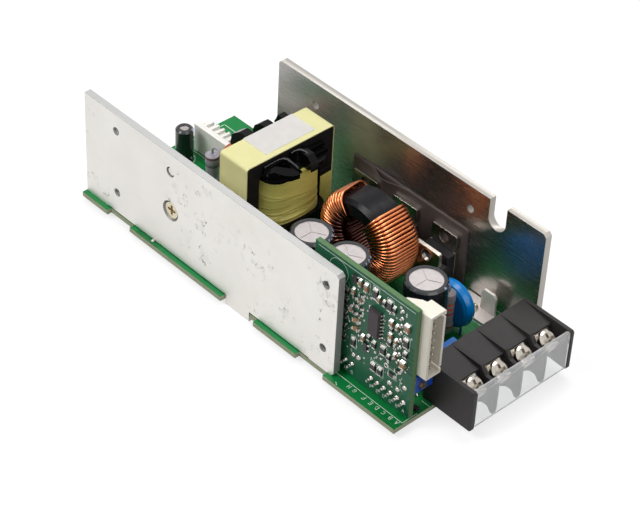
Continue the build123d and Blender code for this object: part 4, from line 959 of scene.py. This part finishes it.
# The pins of the output header run on to points just inside its mouth
tips = bmesh.new()
for low, high in solids_of("output_header_pins"):
    middle, half = (low + high) / 2, 0.32 * MM
    row = high.y - half
    loops = []
    for u, reach in ((134.0, 1.0), (135.5, 1.0), (135.9, 0.45)):
        loops.append([(at(u, 0, 0).x, row + a * half * reach, middle.z + b * half * reach)
                      for a, b in ((-1, -1), (1, -1), (1, 1), (-1, 1))])
    for first, last in zip(loops, loops[1:]):
        block(tips, first, last)
made(tips, "header_pin_tips", tin, 0.04)

LENGTHS = ("Radius", "Base Radius", "Tip Radius", "Height")
TO_NEAR = (pi / 2, 0, 0)
DOWN = (pi, 0, 0)
cones = solder_cones()
drops = solder_drops()


def soldered(name, tree, seed, points, **sizes):
    """Solder on given points; its sizes are inputs of the tree, lengths in millimetres."""
    values = {"Seed": seed}
    for key, value in sizes.items():
        label = key.replace("_", " ")
        values[label] = value * MM if label in LENGTHS else value
    grown(name, tree, values, solder, points)


PIN_HEIGHT, HEADER_TIP = 4.9, 128.2
pins, header_pins = solids_of("control_board_pins"), solids_of("output_header_pins")
soldered("control_pin_solder", cones, 2,
         [Vector(((low.x + high.x) / 2, BOARD_FACE, at(0, 0, PIN_HEIGHT).z)) for low, high in pins],
         Base_Radius=1.0, Tip_Radius=0.42, Height=1.25, Waist=0.28, Turn=TO_NEAR)
soldered("header_solder", cones, 6,
         [Vector((at(HEADER_TIP, 0, 0).x, BOARD_FACE, (low.z + high.z) / 2)) for low, high in header_pins],
         Base_Radius=0.85, Tip_Radius=0.35, Height=0.95, Waist=0.3, Turn=TO_NEAR)
# Wires and test points soldered by hand, U and W
BLOBS = ((111.6, 8.6), (113.6, 8.8), (131.2, 10.2), (125.6, 8.2), (128.7, 7.9))
soldered("solder_blobs", drops, 5, [on_face(*spot) for spot in BLOBS],
         Radius=0.85, Flatness=(1.0, 0.75, 1.0), Spread=0.15)
# Tinned holes and small pads between the chips, U and W
DOTS = ((112.9, 16.4), (113.0, 14.6), (119.4, 14.7), (121.6, 13.9), (119.3, 12.6), (114.2, 31.2),
        (115.1, 31.2), (113.9, 25.0), (114.0, 29.7), (112.6, 22.4), (114.6, 22.9), (121.4, 32.2),
        (126.2, 31.6), (126.0, 21.6), (125.8, 16.9), (116.8, 20.4), (121.4, 15.7), (118.0, 19.6),
        (110.0, 17.2), (108.2, 23.0), (109.0, 19.0), (127.4, 36.0), (129.4, 14.9), (130.9, 15.6),
        (109.4, 33.2), (116.5, 32.0), (124.3, 14.6), (110.6, 22.6))
# More of them, scattered where no chip lies
dice = random.Random(21)
taken = CHIPS + solids_of("control_chip")
specks = []
while len(specks) < 85:
    spot = on_face(dice.uniform(108.2, 132.0), dice.uniform(7.0, 35.5))
    if all(not (low.x < spot.x < high.x and low.z < spot.z < high.z) for low, high in taken):
        specks.append(spot)
soldered("tinned_vias", drops, 3, specks, Radius=0.27, Flatness=(1.0, 0.3, 1.0), Spread=0.35)
soldered("solder_dots", drops, 9, [on_face(*spot) for spot in DOTS],
         Radius=0.42, Flatness=(1.0, 0.35, 1.0), Spread=0.25)
# Bare solder on the main board: beside the terminal block and at a foot of the near plate
soldered("board_beads", drops, 1, [at(128.1, 14.1, 0.2), at(31.5, 1.2, 0.1)],
         Radius=0.7, Flatness=(1.0, 1.0, 0.8), Spread=0.1)


def eyelet(u, w, radius, rim):
    """A tinned ring round a hole in the control board."""
    profile = ((radius - rim, 0.0), (radius - rim * 0.7, 0.22), (radius, 0.28), (radius + rim, 0.12),
               (radius + rim * 1.2, 0.0))
    shape = bmesh.new()
    middle = on_face(u, w)
    rings = []
    for r, out in profile:
        circle = ring_line(0, 0, r * MM, 28)[:-1]
        rings.append([shape.verts.new(middle + Vector((x, -out * MM, z))) for x, z in circle])
    skin(shape, [*rings, rings[0]])
    made(shape, "eyelet", solder, smooth=True)


eyelet(123.9, 13.2, 0.62, 0.3)


# Solder below the main board, where the leads come through

def lead_ends():
    """The middle of each cluster of lowest points of the parts that stand on the board."""
    clusters = []
    for name in sorted(cad):
        if name in ("near_plate", "far_plate", "main_board"):
            continue
        for vert in cad[name].data.vertices:
            if vert.co.z > 0.5 * MM:
                continue
            for cluster in clusters:
                if (cluster[0] - vert.co).length < 1.3 * MM:
                    cluster.append(vert.co.copy())
                    break
            else:
                clusters.append([vert.co.copy()])
    return [sum(points, Vector()) / len(points) for points in clusters]


underside = at(0, 0, -1.6).z
soldered("underside_solder", cones, 7, [Vector((end.x, end.y, underside)) for end in lead_ends()],
         Base_Radius=1.15, Tip_Radius=0.5, Height=1.1, Waist=0.3, Turn=DOWN)

# Threads in the holes of the plates

near_holes = [at(u, 2.8, w) for u in (14.7, 103.5) for w in (7.7, 30.1)]
far_holes = [at(u, 57.6, 28.3) for u in (40.2, 104.0)]
thread = {"Hole Radius": 1.26 * MM, "Ridge": 0.13 * MM, "Pitch": 0.5 * MM, "Ridges": 4}
threads = grown("hole_threads", thread_ridges(), thread, sheet_aluminium, near_holes + far_holes)

# Legend: pin letters along both boards, and the outlines of the parts

PIN_LETTERS = [(letter, 131.2 - i * 2.49) for i, letter in enumerate("ABCDEF")] + [("G", 111.3), ("H", 108.8)]
BOARD_LETTERS = [("A", 132.2), ("B", 129.7), ("C", 127.1), ("D", 124.6), ("E", 122.2), ("F", 119.5),
                 ("G", 115.9), ("H", 113.7)]
board_lines = [[(107.5, 3.6), (133.2, 3.5), (133.2, 9.0)], [(130.6, 13.6), (133.4, 13.6)]]
board_lines += legend([(letter, u, 2.4) for letter, u in BOARD_LETTERS], -1.25)
board_lines += [[(110.0, 0.9), (110.9, 0.3)]]
board_lines += [ring_line(u, v, 6.7) for u, v in ((80.1, 18.2), (93.9, 19.2), (115.1, 28.3))]
board_lines += [ring_line(7.0, 33.9, 3.3), box_line(39.5, 13.0, 65.4, 47.2),
                box_line(106.0, 48.0, 121.4, 56.2), box_line(1.6, 38.7, 11.6, 54.8),
                ring_line(24.3, 30.1, 2.7)]
strokes("board_legend", board_lines, lambda x, y: at(x, y, 0.01), 0.16)
control_lines = legend([(letter, u, 1.9) for letter, u in PIN_LETTERS], 1.05)
control_lines += [[(96.0, 37.4), (132.6, 37.4)], [(129.9, 12.9), (129.3, 11.2), (129.4, 9.2), (130.3, 8.2)]]
control_lines += [ring_line(104.0, 33.6, 3.6), ring_line(107.6, 30.8, 0.8), *frames]
strokes("control_legend", control_lines, lambda x, y: at(x, CONTROL_FACE - 0.01, y), 0.13)


# Studio

def seen_share(tree):
    """One for what the camera sees, also in a mirror or through clear plastic, and nought for light."""
    sight = add(tree, "ShaderNodeLightPath").outputs
    direct = calc(tree, "MAXIMUM", sight["Is Camera Ray"], sight["Is Glossy Ray"])
    return calc(tree, "MAXIMUM", direct, sight["Is Transmission Ray"])


def emptied(owner):
    """The node tree of a material or a world, with nothing in it."""
    owner.use_nodes = True
    owner.node_tree.nodes.clear()
    return owner.node_tree


def studio():
    """A pale floor, soft lamps and a white world that metal and clear plastic also see."""
    floor_mesh = bpy.data.meshes.new("floor")
    half = 3.0
    corners = [(-half, -half, 0), (half, -half, 0), (half, half, 0), (-half, half, 0)]
    floor_mesh.from_pydata(corners, [], [(0, 1, 2, 3)])
    floor = linked("floor", floor_mesh)
    material = bpy.data.materials.new("white sweep")
    tree = emptied(material)
    part = times(tree, seen_share(tree), 0.72)
    glow = add(tree, "ShaderNodeEmission", {"Color": (1, 1, 1, 1), "Strength": part})
    matt = add(tree, "ShaderNodeBsdfDiffuse", {"Color": (0.30, 0.30, 0.30, 1)})
    both = add(tree, "ShaderNodeAddShader", {0: glow.outputs[0], 1: matt.outputs[0]})
    add(tree, "ShaderNodeOutputMaterial", {"Surface": both.outputs[0]})
    floor_mesh.materials.append(material)

    world = bpy.data.worlds.new("studio")
    bpy.context.scene.world = world
    tree = emptied(world)
    level = ranged(tree, seen_share(tree), to=(0.28, 1.0))
    sky = add(tree, "ShaderNodeBackground", {"Color": (1, 1, 1, 1), "Strength": level})
    add(tree, "ShaderNodeOutputWorld", {"Surface": sky.outputs[0]})

    for name, place, aim, size, power in (
            ("key", (-0.35, -0.75, 0.95), (0, 0, 0.02), 0.6, 8.5),
            ("fill", (0.9, -0.15, 0.6), (0, 0, 0.02), 0.8, 3.0),
            ("top", (-0.1, 0.3, 1.1), (0, 0, 0.0), 0.7, 7.5)):
        lamp = bpy.data.lights.new(name, "AREA")
        lamp.shape = "DISK"
        lamp.size = size
        lamp.energy = power
        holder = linked(name, lamp)
        holder.location = place
        holder.rotation_euler = (Vector(aim) - Vector(place)).to_track_quat("-Z", "Y").to_euler()


def camera_at_the_photo():
    """The camera worked out from the photo."""
    azimuth, elevation, roll = radians(45.103), radians(39.733), radians(3.162)
    back = Vector((sin(azimuth) * cos(elevation), -cos(azimuth) * cos(elevation), sin(elevation)))
    right = Vector((0, 0, 1)).cross(back).normalized()
    up = back.cross(right)
    tilted_right = right * cos(roll) + up * sin(roll)
    tilted_up = up * cos(roll) - right * sin(roll)
    lens = bpy.data.cameras.new("camera")
    lens.sensor_width = 36.0
    focal, photo_width = 2191.331, 640.0     # pixels
    lens.lens = focal * lens.sensor_width / photo_width
    lens.clip_start = 0.01
    lens.clip_end = 20.0
    holder = linked("camera", lens)
    turn = Matrix((tilted_right, tilted_up, back)).transposed().to_4x4()
    place = Vector((341.526, -342.321, 411.574)) * MM
    holder.matrix_world = Matrix.Translation(place) @ turn
    bpy.context.scene.camera = holder


studio()
camera_at_the_photo()
bpy.context.scene.view_settings.view_transform = "Standard"
